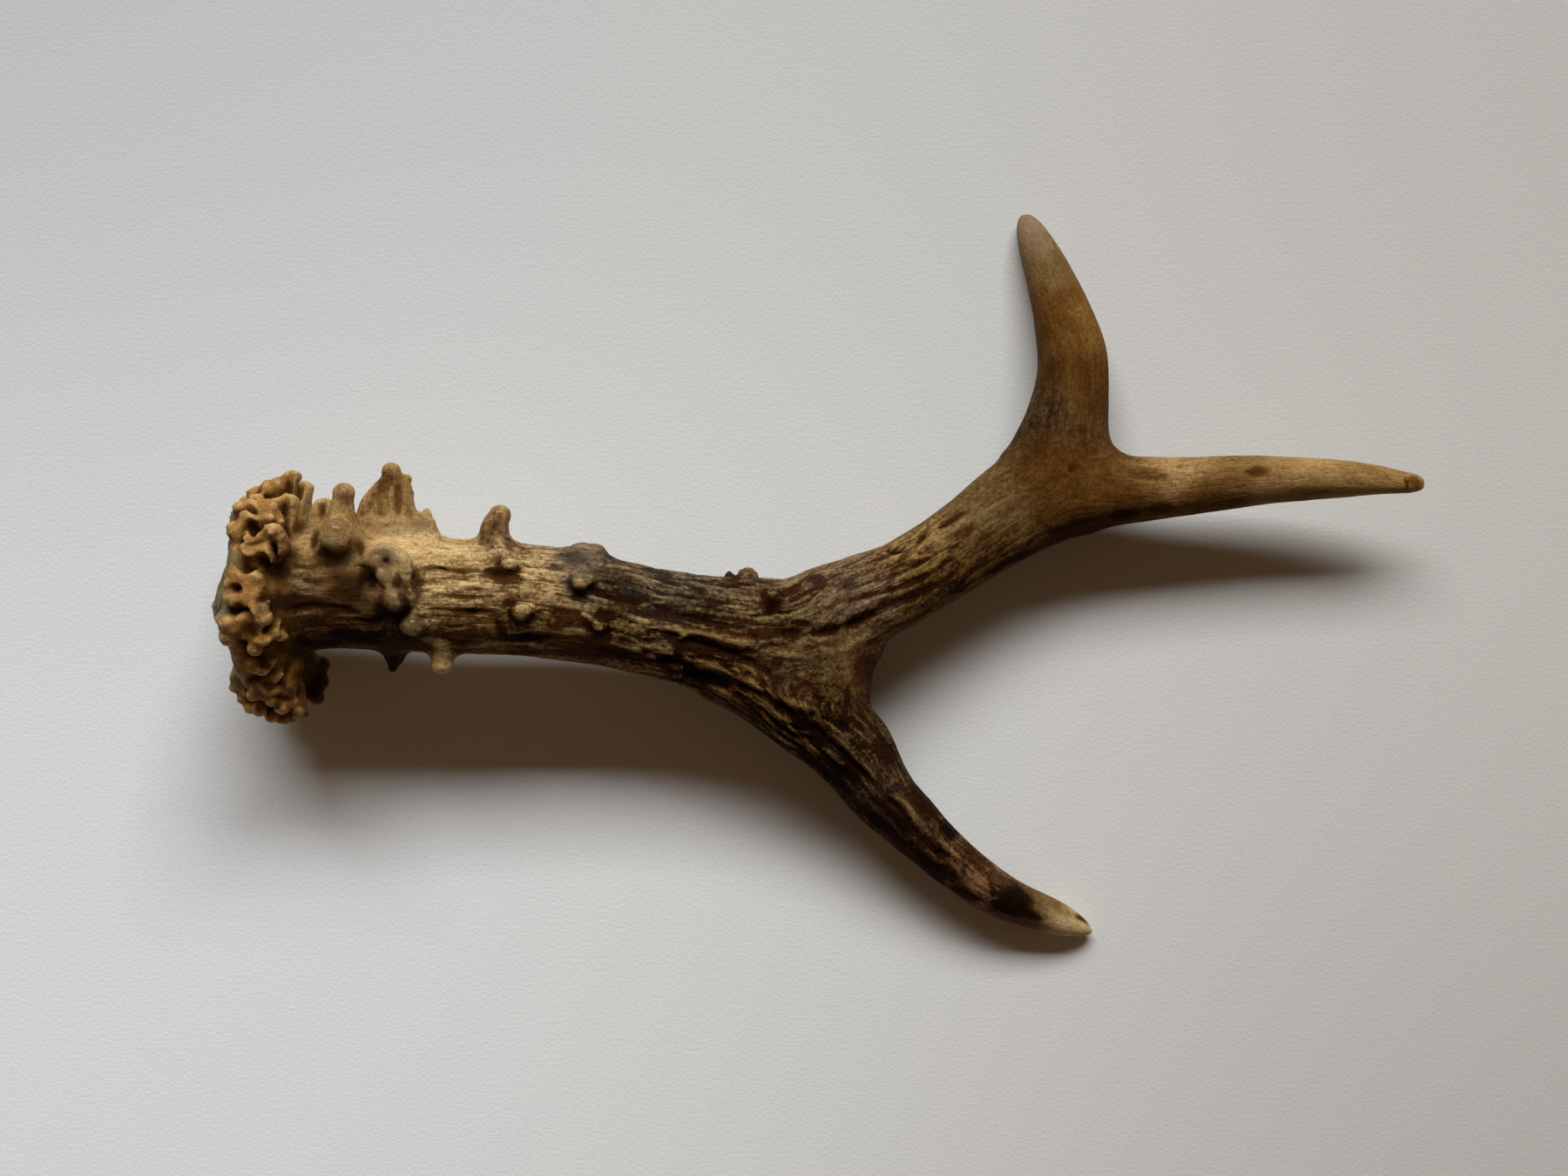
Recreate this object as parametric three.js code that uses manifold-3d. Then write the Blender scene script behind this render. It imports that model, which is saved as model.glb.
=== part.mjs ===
// A shed roe deer antler with three tines, lying on its side.
// Millimetres, +Z up. The main beam runs along +X from the burr, the rear tine points along +Y and
// the front tine along -Y. The antler rests on its burr and on the tips of the front and rear tines.

import * as THREE from 'three';
import { mergeVertices } from 'three/addons/utils/BufferGeometryUtils.js';
import Module from 'manifold-3d';

const wasm = await Module();
wasm.setup();

// Driving dimensions

const forkGap = 0.3;          // clearance between neighbouring pieces at a fork
const beamSides = 22;
const tineSides = 18;
const ringsPerStation = 3;
const lobeSides = 10;
const spikeSides = 8;
const webSides = 16;

const burrAxis = { y: -1, z: 20.5 };      // middle of the burr, seen along the beam
const burrRootX = -83.5;                  // where the burr's lobes grow out of the beam
const burrRootRadius = 6;

// Stations along a branch: place of the middle, half the width and half the height there.
// A zero width closes the branch.

const lowerBeamLine = [
  { at: [-97.4, -1.5, 20.5], wide: 0, high: 0 },
  { at: [-96.6, -1.5, 20.5], wide: 6.2, high: 6.2 },
  { at: [-93.5, -1.4, 20.5], wide: 9.6, high: 9.8 },
  { at: [-86, -0.8, 20.5], wide: 11.2, high: 11.2 },
  { at: [-76.5, 0, 20], wide: 10.4, high: 10.6 },
  { at: [-66.5, -0.7, 20], wide: 10, high: 10.4 },
  { at: [-56, -1.3, 20], wide: 9.8, high: 10 },
  { at: [-44.5, -1.9, 19.3], wide: 9.5, high: 9.8 },
  { at: [-32.5, -2.8, 18.3], wide: 9.8, high: 9.6 },
  { at: [-23.5, -5, 17.3], wide: 9.4, high: 9.3 },
  { at: [-14.5, -7, 16.2], wide: 10.2, high: 9.1 },
  { at: [-6, -8.6, 15.2], wide: 10.9, high: 8.9 },
  { at: [3, -9.8, 14.2], wide: 11, high: 8.6 },
  { at: [9.5, -10.5, 13.2], wide: 8, high: 7.2 },
  { at: [13, -11, 12.6], wide: 0, high: 0 },
];

const upperBeamLine = [
  { at: [-8, -7.5, 14.6], wide: 0, high: 0 },
  { at: [-3, -7, 14.2], wide: 7.4, high: 7 },
  { at: [6, -5.4, 13.4], wide: 9, high: 8.2 },
  { at: [16.5, -1.2, 12.6], wide: 7.9, high: 7.7 },
  { at: [24, 3, 12], wide: 7.4, high: 7.2 },
  { at: [31, 7.3, 11.6], wide: 7.6, high: 7 },
  { at: [38.5, 12.4, 11.3], wide: 8.5, high: 6.9 },
  { at: [45, 16.5, 11], wide: 9, high: 6.8 },
  { at: [50, 20, 10.8], wide: 7.4, high: 6 },
  { at: [54, 22.5, 10.7], wide: 0, high: 0 },
];

const frontTineLine = [
  { at: [-8, -9, 15.4], wide: 0, high: 0 },
  { at: [-3.5, -13, 14.8], wide: 7.6, high: 7.6 },
  { at: [3.5, -19.5, 13.5], wide: 8.4, high: 8 },
  { at: [10.2, -27.6, 11.5], wide: 7.3, high: 7 },
  { at: [16.2, -34.8, 10], wide: 6, high: 6 },
  { at: [23.2, -42, 8.6], wide: 5.1, high: 5.2 },
  { at: [32.2, -50.1, 6.8], wide: 4.3, high: 4.4 },
  { at: [41.3, -55.4, 4.9], wide: 3.6, high: 3.7 },
  { at: [48.5, -58.6, 3], wide: 2.9, high: 3 },
  { at: [52.8, -60.3, 2], wide: 2.1, high: 2.2 },
  { at: [54.4, -61, 1.7], wide: 1.3, high: 1.3 },
  { at: [55.1, -61.3, 1.6], wide: 0, high: 0 },
];

const rearTineLine = [
  { at: [41, 9, 11.2], wide: 0, high: 0 },
  { at: [44, 13, 11], wide: 7.4, high: 6 },
  { at: [48.5, 21.5, 10.4], wide: 8.4, high: 6.8 },
  { at: [50, 29.5, 9.2], wide: 7.2, high: 6.4 },
  { at: [50.5, 39.8, 7.6], wide: 6.2, high: 5.8 },
  { at: [48.4, 49.6, 5.8], wide: 5, high: 4.8 },
  { at: [45.6, 58.3, 3.7], wide: 3.6, high: 3.6 },
  { at: [43.5, 63.6, 2.3], wide: 2.4, high: 2.5 },
  { at: [42.6, 65.7, 1.8], wide: 1.5, high: 1.5 },
  { at: [42.3, 66.4, 1.7], wide: 0, high: 0 },
];

const topTineLine = [
  { at: [39, 13.5, 11.2], wide: 0, high: 0 },
  { at: [42, 14.5, 11.2], wide: 7, high: 6 },
  { at: [51, 16.3, 11.2], wide: 8, high: 6.6 },
  { at: [62.9, 17.3, 11.8], wide: 5.7, high: 5.6 },
  { at: [74.2, 18, 12.4], wide: 4.9, high: 4.9 },
  { at: [88.8, 18.7, 13.2], wide: 3.9, high: 3.9 },
  { at: [101.3, 18.6, 14], wide: 2.7, high: 2.7 },
  { at: [107, 18.1, 14.4], wide: 1.9, high: 1.9 },
  { at: [109.3, 17.9, 14.6], wide: 1.1, high: 1.1 },
  { at: [110, 17.9, 14.6], wide: 0, high: 0 },
];

// Webs that fill the crotch of each fork: flattened lumps.

const forkWebs = [
  { at: [6, -15.5, 13.2], size: [9.6, 11, 7.7] },
  { at: [54.6, 18.8, 10.9], size: [6.6, 6.6, 5.8] },
];

// Lobes of the burr. The angle turns about the beam, from straight up towards +Y; reach is the
// distance of the tip from the beam's middle, lean is how far the tip stands towards the seal.

const burrLobes = [
  { angle: 5, reach: 16.5, lean: 5, width: 4.4, depth: 3.4 },
  { angle: 31, reach: 16, lean: 8, width: 3.8, depth: 3 },
  { angle: 55, reach: 17.5, lean: 10, width: 4, depth: 3.4 },
  { angle: 76, reach: 18.5, lean: 7.5, width: 4.2, depth: 4 },
  { angle: 93, reach: 21, lean: 1.5, width: 3.8, depth: 3.9 },
  { angle: 100, reach: 18.6, lean: -3.5, width: 4, depth: 3.6 },
  { angle: 122, reach: 20.5, lean: 4, width: 4.4, depth: 3.8 },
  { angle: 146, reach: 21, lean: 6, width: 4.6, depth: 3.6 },
  { angle: 168, reach: 21.5, lean: 3, width: 4.8, depth: 4 },
  { angle: 190, reach: 21.6, lean: 4.5, width: 4.8, depth: 4 },
  { angle: 213, reach: 21.5, lean: 5, width: 4.6, depth: 3.8 },
  { angle: 236, reach: 21.5, lean: 6, width: 4.6, depth: 3.8 },
  { angle: 256, reach: 22, lean: 1, width: 4.4, depth: 4 },
  { angle: 262, reach: 20.5, lean: 8, width: 4.2, depth: 3.4 },
  { angle: 284, reach: 19.5, lean: 3, width: 4.4, depth: 3.8 },
  { angle: 309, reach: 17.5, lean: 7, width: 4.2, depth: 3.2 },
  { angle: 334, reach: 16.5, lean: 8.5, width: 4, depth: 3.2 },
];

// Spikes and pearls on the beam: foot, tip, radius of the foot and of the tip.

const beamSpikes = [
  { foot: [-68.8, 7, 22], tip: [-66.3, 20.2, 23], footRadius: 5.4, tipRadius: 1.2 },
  { foot: [-65, 7, 20], tip: [-64.2, 18, 20], footRadius: 4.4, tipRadius: 1.3 },
  { foot: [-74, 5, 24], tip: [-73.2, 15.4, 25], footRadius: 4, tipRadius: 2.2 },
  { foot: [-72.6, 4, 25.5], tip: [-72.4, 9.2, 34.8], footRadius: 4, tipRadius: 2.8 },
  { foot: [-79.5, 6, 21], tip: [-79.3, 15.6, 21], footRadius: 4.2, tipRadius: 2.2 },
  { foot: [-49.5, 4, 20], tip: [-48.6, 12.2, 21], footRadius: 4.6, tipRadius: 1.4 },
  { foot: [-57, -7, 18], tip: [-57.6, -13.4, 16.8], footRadius: 4.4, tipRadius: 1.3 },
  { foot: [-65.5, -6, 18], tip: [-65.9, -12.4, 17.6], footRadius: 4.2, tipRadius: 1.2 },
  { foot: [-33, 2, 20], tip: [-33.4, 5, 21], footRadius: 6.4, tipRadius: 3.6 },
];

const beamPearls = [
  { at: [-62.3, 0.2, 29.9], radius: 2.4 },
  { at: [-62.4, -5.6, 28.6], radius: 2.1 },
  { at: [-66, 4.3, 29.6], radius: 2.3 },
  { at: [-43.8, -4, 28.6], radius: 1.8 },
  { at: [-6.3, 1.2, 18.4], radius: 1.9 },
];

// Cuts at the forks: where the branch starts, which way it runs, and a block that holds it all.

const frontTineCut = { at: [8, -25, 12], towards: [0.62, -0.78, 0], size: [90, 44, 60] };
const upperBeamCut = { at: [16, -2, 12.6], towards: [0.86, 0.5, 0], size: [170, 150, 60] };
const rearTineCut = { at: [49.4, 26.5, 10], towards: [0.06, 1, 0], size: [60, 60, 60] };
const topTineCut = { at: [58.5, 17, 11.4], towards: [1, 0.07, 0], size: [80, 40, 60] };

// Solids

function toSolid(geometry) {
  geometry.deleteAttribute('normal');
  geometry.deleteAttribute('uv');
  const merged = mergeVertices(geometry, 1e-4);
  const corners = [];
  for (let i = 0; i < merged.index.count; i += 3) {
    const [a, b, c] = [0, 1, 2].map((corner) => merged.index.getX(i + corner));
    if (a !== b && b !== c && c !== a) {
      corners.push(a, b, c);
    }
  }
  const mesh = new wasm.Mesh({
    numProp: 3,
    vertProperties: new Float32Array(merged.attributes.position.array),
    triVerts: new Uint32Array(corners),
  });
  return new wasm.Manifold(mesh);
}

function toMesh(name, solid, material) {
  const cut = solid.getMesh();
  const geometry = new THREE.BufferGeometry();
  geometry.setAttribute('position', new THREE.BufferAttribute(cut.vertProperties, 3));
  geometry.setIndex(new THREE.BufferAttribute(cut.triVerts, 1));
  geometry.computeVertexNormals();
  const mesh = new THREE.Mesh(geometry, material);
  mesh.name = name;
  return mesh;
}

// A lathe whose profile follows the stations, bent along the smooth line through them.
function branch(stations, sides) {
  const line = new THREE.CatmullRomCurve3(stations.map((station) => new THREE.Vector3(...station.at)));
  const widths = new THREE.SplineCurve(stations.map((station, i) => new THREE.Vector2(i, station.wide)));
  const heights = new THREE.SplineCurve(stations.map((station, i) => new THREE.Vector2(i, station.high)));
  const rings = (stations.length - 1) * ringsPerStation;
  const profile = [];
  for (let ring = 0; ring <= rings; ring += 1) {
    const end = ring === 0 || ring === rings;
    profile.push(new THREE.Vector2(end ? 0 : 1, ring / rings));
  }
  const geometry = new THREE.LatheGeometry(profile, sides);
  const places = geometry.attributes.position;
  const up = new THREE.Vector3(0, 0, 1);
  for (let i = 0; i < places.count; i += 1) {
    const along = places.getY(i);
    const forward = line.getTangent(along);
    const side = new THREE.Vector3().crossVectors(forward, up).normalize();
    const top = new THREE.Vector3().crossVectors(side, forward);
    const place = line.getPoint(along);
    place.addScaledVector(side, places.getX(i) * widths.getPoint(along).y);
    place.addScaledVector(top, places.getZ(i) * heights.getPoint(along).y);
    places.setXYZ(i, place.x, place.y, place.z);
  }
  return toSolid(geometry);
}

function lump(at, size, sides, turn = new THREE.Quaternion()) {
  const geometry = new THREE.SphereGeometry(1, sides, Math.round(sides * 0.6));
  geometry.scale(...size);
  geometry.applyQuaternion(turn);
  geometry.translate(...at);
  return toSolid(geometry);
}

function turnFromY(direction) {
  return new THREE.Quaternion().setFromUnitVectors(new THREE.Vector3(0, 1, 0), direction);
}

// A blunt cone from foot to tip, with a round end.
function spike({ foot, tip, footRadius, tipRadius }) {
  const start = new THREE.Vector3(...foot);
  const direction = new THREE.Vector3(...tip).sub(start);
  const length = direction.length();
  const profile = [new THREE.Vector2(0, 0), new THREE.Vector2(footRadius, 0)];
  for (const turn of [0, 30, 60]) {
    const angle = THREE.MathUtils.degToRad(turn);
    profile.push(new THREE.Vector2(tipRadius * Math.cos(angle), length + tipRadius * Math.sin(angle)));
  }
  profile.push(new THREE.Vector2(0, length + tipRadius));
  const geometry = new THREE.LatheGeometry(profile, spikeSides);
  geometry.applyQuaternion(turnFromY(direction.normalize()));
  geometry.translate(...foot);
  return toSolid(geometry);
}

// A leaf of the burr: a long flattened lump from the beam's middle out to the tip.
function burrLobe({ angle, reach, lean, width, depth }) {
  const turn = THREE.MathUtils.degToRad(angle);
  const root = new THREE.Vector3(
    burrRootX,
    burrAxis.y + burrRootRadius * Math.sin(turn),
    burrAxis.z + burrRootRadius * Math.cos(turn),
  );
  const tip = new THREE.Vector3(
    burrRootX - lean,
    burrAxis.y + reach * Math.sin(turn),
    burrAxis.z + reach * Math.cos(turn),
  );
  const direction = tip.clone().sub(root);
  const middle = root.clone().add(tip).multiplyScalar(0.5);
  const across = new THREE.Vector3(0, Math.cos(turn), -Math.sin(turn));
  const outward = direction.clone().normalize();
  const through = new THREE.Vector3().crossVectors(across, outward);
  const basis = new THREE.Matrix4().makeBasis(across, outward, through);
  const orientation = new THREE.Quaternion().setFromRotationMatrix(basis);
  return lump(middle.toArray(), [width, direction.length() / 2, depth], lobeSides, orientation);
}

// A block that starts at the cut and reaches along the branch; back moves its face away from it.
function cutBlock({ at, towards, size }, back = 0) {
  const direction = new THREE.Vector3(...towards).normalize();
  const geometry = new THREE.BoxGeometry(...size);
  geometry.rotateZ(Math.atan2(direction.y, direction.x));
  const middle = new THREE.Vector3(...at).addScaledVector(direction, size[0] / 2 - back);
  geometry.translate(...middle.toArray());
  return toSolid(geometry);
}

function joined(solids) {
  return solids.reduce((whole, solid) => whole.add(solid));
}

// Everything below the surface that the antler lies on, so that it gets small flat feet.
function belowTable() {
  const geometry = new THREE.BoxGeometry(400, 400, 20);
  geometry.translate(0, 0, -10);
  return toSolid(geometry);
}

// Splits a branch off the rest: the branch first, then the rest, with the gap between them.
function split(solid, cut) {
  return [solid.intersect(cutBlock(cut)), solid.subtract(cutBlock(cut, forkGap))];
}

const wholeAntler = joined([
  branch(lowerBeamLine, beamSides),
  branch(upperBeamLine, beamSides),
  branch(frontTineLine, tineSides),
  branch(rearTineLine, tineSides),
  branch(topTineLine, tineSides),
  ...forkWebs.map(({ at, size }) => lump(at, size, webSides)),
  ...burrLobes.map(burrLobe),
  ...beamSpikes.map(spike),
  ...beamPearls.map(({ at, radius }) => lump(at, [radius, radius, radius], lobeSides)),
]).subtract(belowTable());

const [frontTine, withoutFront] = split(wholeAntler, frontTineCut);
const [crown, lowerBeam] = split(withoutFront, upperBeamCut);
const [rearTine, withoutRear] = split(crown, rearTineCut);
const [topTine, upperBeam] = split(withoutRear, topTineCut);

// Colours: pale tan bone near the burr, browner and polished towards the tines.

const finishes = {
  lowerBeam: new THREE.MeshStandardMaterial({ color: '#a58a5c', roughness: 0.6, metalness: 0 }),
  upperBeam: new THREE.MeshStandardMaterial({ color: '#7d6642', roughness: 0.55, metalness: 0 }),
  frontTine: new THREE.MeshStandardMaterial({ color: '#75583a', roughness: 0.5, metalness: 0 }),
  rearTine: new THREE.MeshStandardMaterial({ color: '#6f573a', roughness: 0.4, metalness: 0 }),
  topTine: new THREE.MeshStandardMaterial({ color: '#8a7048', roughness: 0.4, metalness: 0 }),
};

const antler = new THREE.Group();
antler.name = 'deer_antler';
antler.add(toMesh('lower_beam', lowerBeam, finishes.lowerBeam));
antler.add(toMesh('upper_beam', upperBeam, finishes.upperBeam));
antler.add(toMesh('front_tine', frontTine, finishes.frontTine));
antler.add(toMesh('rear_tine', rearTine, finishes.rearTine));
antler.add(toMesh('top_tine', topTine, finishes.topTine));

// The origin is the middle of the antler's outline, on the surface that it lies on.

const outline = new THREE.Box3().setFromObject(antler);
const middle = outline.getCenter(new THREE.Vector3());
antler.position.set(-middle.x, -middle.y, -outline.min.z);

export default antler;
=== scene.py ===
import bpy
import bmesh
import math
import numpy as np
from mathutils import Matrix, Vector
from mathutils.bvhtree import BVHTree


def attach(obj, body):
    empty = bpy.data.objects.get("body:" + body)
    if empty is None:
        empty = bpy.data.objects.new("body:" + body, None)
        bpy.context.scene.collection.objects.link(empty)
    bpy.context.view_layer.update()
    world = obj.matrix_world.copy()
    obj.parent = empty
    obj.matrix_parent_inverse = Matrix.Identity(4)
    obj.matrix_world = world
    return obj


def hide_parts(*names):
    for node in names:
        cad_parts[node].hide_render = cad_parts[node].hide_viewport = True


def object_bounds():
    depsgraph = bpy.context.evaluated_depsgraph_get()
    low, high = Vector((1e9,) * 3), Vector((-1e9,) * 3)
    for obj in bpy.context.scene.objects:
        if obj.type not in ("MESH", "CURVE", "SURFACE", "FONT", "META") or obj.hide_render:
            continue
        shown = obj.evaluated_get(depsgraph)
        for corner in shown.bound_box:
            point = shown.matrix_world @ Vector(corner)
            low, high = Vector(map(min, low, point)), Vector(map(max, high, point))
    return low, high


# A shed roe deer antler. It is shaped in millimetres on a drawing of its own, with z up from the
# surface that it lies on, and moved into the frame in metres at the end.
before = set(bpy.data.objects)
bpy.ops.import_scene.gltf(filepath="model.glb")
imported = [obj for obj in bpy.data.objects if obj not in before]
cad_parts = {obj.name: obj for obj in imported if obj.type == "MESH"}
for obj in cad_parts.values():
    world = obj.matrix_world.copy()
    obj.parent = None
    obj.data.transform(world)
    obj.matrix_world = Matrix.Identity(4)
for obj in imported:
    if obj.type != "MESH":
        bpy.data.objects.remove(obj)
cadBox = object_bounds()
mm = 0.001
sealFaceX = -97.4     # drawing: furthest point of the seal, towards -x
rearTipY = 66.4       # drawing: end of the rear tine, towards +y
shiftX = cadBox[0][0] / mm - sealFaceX
shiftY = cadBox[1][1] / mm - rearTipY
print("frame loaded, drawing shifted by", round(shiftX, 2), round(shiftY, 2), "mm")


def smoothThrough(rows, steps):
    # a smooth line through rows of numbers, with steps samples from one row to the next
    rows = np.array(rows, float)
    padded = np.vstack([2 * rows[0] - rows[1], rows, 2 * rows[-1] - rows[-2]])
    t = np.linspace(0, 1, steps, endpoint=False)[:, None]
    parts = []
    for a, b, c, d in zip(padded, padded[1:], padded[2:], padded[3:]):
        parts.append(0.5 * (2 * b + (c - a) * t + (2 * a - 5 * b + 4 * c - d) * t**2
                            + (3 * b - a - 3 * c + d) * t**3))
    return np.vstack(parts + [rows[-1:]])


def lineFrame(centre):
    # along, beside and above a line, one long, at each of its points
    forward = np.gradient(centre, axis=0)
    forward /= np.linalg.norm(forward, axis=1)[:, None]
    side = np.cross(forward, (0, 0, 1))
    side /= np.linalg.norm(side, axis=1)[:, None]
    return forward, side, np.cross(side, forward)


def ramp(values, low, high):
    # 0 below low, 1 above high, smooth between
    t = np.clip((values - low) / (high - low), 0, 1)
    return t * t * (3 - 2 * t)


def smoothNoise(points, size, seed):
    # soft random hills about size across, from -1 to 1
    table = np.random.default_rng(seed).random((32, 32, 32)) * 2 - 1
    p = points / size
    cell = np.floor(p).astype(int)
    f = p - cell
    f = f * f * (3 - 2 * f)
    total = np.zeros(len(points))
    for dx, dy, dz in np.ndindex(2, 2, 2):
        share = ((f[:, 0] if dx else 1 - f[:, 0]) * (f[:, 1] if dy else 1 - f[:, 1])
                 * (f[:, 2] if dz else 1 - f[:, 2]))
        total += share * table[(cell[:, 0] + dx) % 32, (cell[:, 1] + dy) % 32, (cell[:, 2] + dz) % 32]
    return total


def roughNoise(points, size, seed, octaves=3):
    # soft hills with smaller and smaller ones on them
    total = np.zeros(len(points))
    for octave in range(octaves):
        total += smoothNoise(points, size / 2**octave, seed + octave) / 2**octave
    return total / 1.6


def linearColour(hexText):
    # sRGB hex to linear
    parts = [int(hexText[i:i + 2], 16) / 255 for i in (1, 3, 5)]
    return np.array([c / 12.92 if c <= 0.04045 else ((c + 0.055) / 1.055)**2.4 for c in parts])


branches = {  # x, y, z of the middle line, half width, half height, all in mm
    "lowerBeam": [(-97.3, -2.9, 18.6, 0.3, 0.3), (-96.8, -2.8, 18.7, 3, 3), (-95.6, -2.4, 19, 5.6, 5.4),
        (-93.8, -1.9, 19.6, 7.6, 7.2), (-91.5, -1.4, 20.2, 8.9, 8.7), (-88, -1, 20.5, 10, 10),
        (-84, -0.6, 20.5, 10.4, 10.6), (-76.5, 0, 20, 10.3, 10.5), (-66.5, -0.7, 20, 10, 10.4),
        (-56, -1.3, 20, 9.7, 10), (-44.3, -2, 19.3, 9.4, 9.8), (-38.4, -2.7, 18.8, 9.5, 9.7),
        (-28.9, -4.3, 17.8, 9.2, 9.4), (-23.7, -5.6, 17.3, 9.2, 9.3), (-14.7, -7.2, 16.3, 9.9, 9.1),
        (-7.9, -8.2, 15.4, 10.4, 8.9), (0, -9.6, 14.5, 11, 8.6), (6, -11, 13.6, 10, 8),
        (11, -12.4, 12.8, 6, 6), (13, -13, 12.6, 0.3, 0.3)],
    "upperBeam": [(-12, -6.6, 15.4, 0.3, 0.3), (-8, -6.4, 15, 5, 6), (0, -5.9, 14.2, 7.2, 7.8),
        (9, -3.8, 13.4, 8.1, 8), (18.7, -0.1, 12.6, 7.5, 7.6), (24.1, 3.1, 12.1, 7.3, 7.3),
        (29.2, 6.3, 11.7, 7.4, 7.1), (34.3, 9.7, 11.4, 7.8, 7), (40.3, 13.8, 11.2, 8.6, 6.9),
        (46, 17, 11, 8.8, 6.8), (51, 20, 10.8, 6.6, 6), (54, 22, 10.7, 0.3, 0.3)],
    "frontTine": [(-20, -8.5, 17, 0.3, 0.3), (-16, -9.7, 16.4, 6, 6.2), (-10, -12.2, 15.8, 7.4, 7.4),
        (-3, -16, 14.9, 7.3, 7.6), (3.5, -20.8, 13.5, 7.5, 7.6), (10.9, -27, 11.6, 7.3, 7.1),
        (17, -35.3, 9.9, 5.9, 6), (21.5, -40, 8.9, 5.3, 5.4), (30.3, -48.5, 7, 4.4, 4.5),
        (38.4, -54.2, 5.3, 3.9, 4), (48, -58.2, 3.1, 3.05, 3.1), (51.9, -59.8, 2.2, 2.05, 2.1),
        (54.2, -60.9, 1.6, 0.95, 1), (55.3, -61.4, 1.5, 0.1, 0.1)],
    "rearTine": [(40, 8, 11.2, 0.3, 0.3), (43.5, 12.5, 11, 6.6, 6), (47.5, 21.5, 10.4, 9, 6.8),
        (49.3, 29.5, 9.2, 7.3, 6.4), (50.3, 36, 8.2, 6.4, 6), (50.3, 40.6, 7.5, 6.1, 5.8),
        (49.4, 45.4, 6.6, 5.6, 5.4), (48.3, 49.6, 5.8, 4.95, 4.8), (46.7, 54.6, 4.6, 4.2, 4.2),
        (45.2, 58.6, 3.7, 3.6, 3.6), (43.9, 62, 2.9, 2.9, 2.9), (43, 64.4, 2.2, 2.1, 2.1),
        (42.5, 65.8, 1.9, 1.2, 1.2), (42.3, 66.4, 1.8, 0.1, 0.1)],
    "topTine": [(39, 13.2, 11.2, 0.3, 0.3), (42, 14.4, 11.2, 6.5, 6), (51, 16.4, 11.3, 7.4, 6.4),
        (57, 16.8, 11.5, 6.2, 6), (63, 17.15, 11.8, 5.65, 5.6), (70, 17.55, 12.2, 5.05, 5),
        (76, 18.1, 12.6, 4.7, 4.7), (82.5, 18.6, 12.9, 4.3, 4.3), (88.8, 18.75, 13.2, 3.85, 3.9),
        (95.1, 18.75, 13.6, 3.4, 3.4), (101.3, 18.6, 14, 2.7, 2.7), (105.5, 18.2, 14.3, 2.1, 2.1),
        (108.4, 17.95, 14.5, 1.7, 1.7), (109.6, 17.9, 14.6, 1.2, 1.2), (110, 17.9, 14.6, 0.3, 0.3)],
}
forkWebs = [  # lumps that fill a crotch: middle and half sizes
    ((7, -15.5, 13.2), (8.4, 10, 7.6)), ((11.5, -9.6, 13), (6, 5.6, 6.6)),
    ((55, 20.7, 10.9), (4.5, 4.5, 5)), ((42.2, 20.2, 10.8), (5.6, 5.6, 5.6)),
    ((-89.4, -1.5, 20.2), (3.7, 16, 15.2)), ((-85.4, -1, 20.2), (5, 15.8, 14.8)),
]
trunk = {
    "sides": 48,
    "stepsPerRow": 6,
    "voxel": 0.6,
    "creaseTurns": 60,     # how far the crotches and the feet of the spikes are filled in
    "smoothTurns": 4,
    "thinnest": 0.05,      # mm, so that a bar never closes to nothing at its ends
    "axisY": -1.0,         # middle of the beam where the burr and the crest stand
    "axisZ": 20.5,
}


def sweptBar(rows, sides, steps):
    # a plain bar cut into rings, then bent and swollen along the line through the rows
    line = smoothThrough(rows, steps)
    line[:, 3:] = np.maximum(line[:, 3:], trunk["thinnest"])
    rings = len(line) - 1
    bar = bmesh.new()
    bmesh.ops.create_cone(bar, cap_ends=True, segments=sides, radius1=1, radius2=1, depth=1)
    long = [e for e in bar.edges if abs(e.verts[0].co.z - e.verts[1].co.z) > 0.5]
    bmesh.ops.subdivide_edges(bar, edges=long, cuts=rings - 1, use_grid_fill=True)
    forward, side, top = lineFrame(line[:, :3])
    for v in bar.verts:
        ring = round((v.co.z + 0.5) * rings)
        place = line[ring, :3] + side[ring] * v.co.x * line[ring, 3] - top[ring] * v.co.y * line[ring, 4]
        v.co = Vector(place)
    bmesh.ops.recalc_face_normals(bar, faces=bar.faces)
    return bar


def addBody(whole, body):
    # one more closed body in the same bmesh
    mesh = bpy.data.meshes.new("body")
    body.to_mesh(mesh)
    body.free()
    whole.from_mesh(mesh)
    bpy.data.meshes.remove(mesh)


def addBall(whole, middle, sizes, subdivisions=3):
    place = Matrix.Translation(middle) @ Matrix.Diagonal((*sizes, 1))
    bmesh.ops.create_icosphere(whole, subdivisions=subdivisions, radius=1, matrix=place)


def voxelSkin(bodies, voxel):
    # one even skin round everything in the bmesh
    mesh = bpy.data.meshes.new("skin")
    bodies.to_mesh(mesh)
    bodies.free()
    holder = addObject("skin", mesh)
    remesh = holder.modifiers.new("skin", "REMESH")
    remesh.mode = "VOXEL"
    remesh.voxel_size = voxel
    remesh.adaptivity = 0
    graph = bpy.context.evaluated_depsgraph_get()
    skin = bpy.data.meshes.new_from_object(holder.evaluated_get(graph))
    bpy.data.objects.remove(holder)
    bpy.data.meshes.remove(mesh)
    return skin


def addObject(name, data):
    thing = bpy.data.objects.new(name, data)
    bpy.context.scene.collection.objects.link(thing)
    return thing


def readPoints(mesh):
    points = np.empty(len(mesh.vertices) * 3)
    mesh.vertices.foreach_get("co", points)
    return points.reshape(-1, 3)


def readEdges(mesh):
    edges = np.empty(len(mesh.edges) * 2, np.int32)
    mesh.edges.foreach_get("vertices", edges)
    return edges.reshape(-1, 2)


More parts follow.
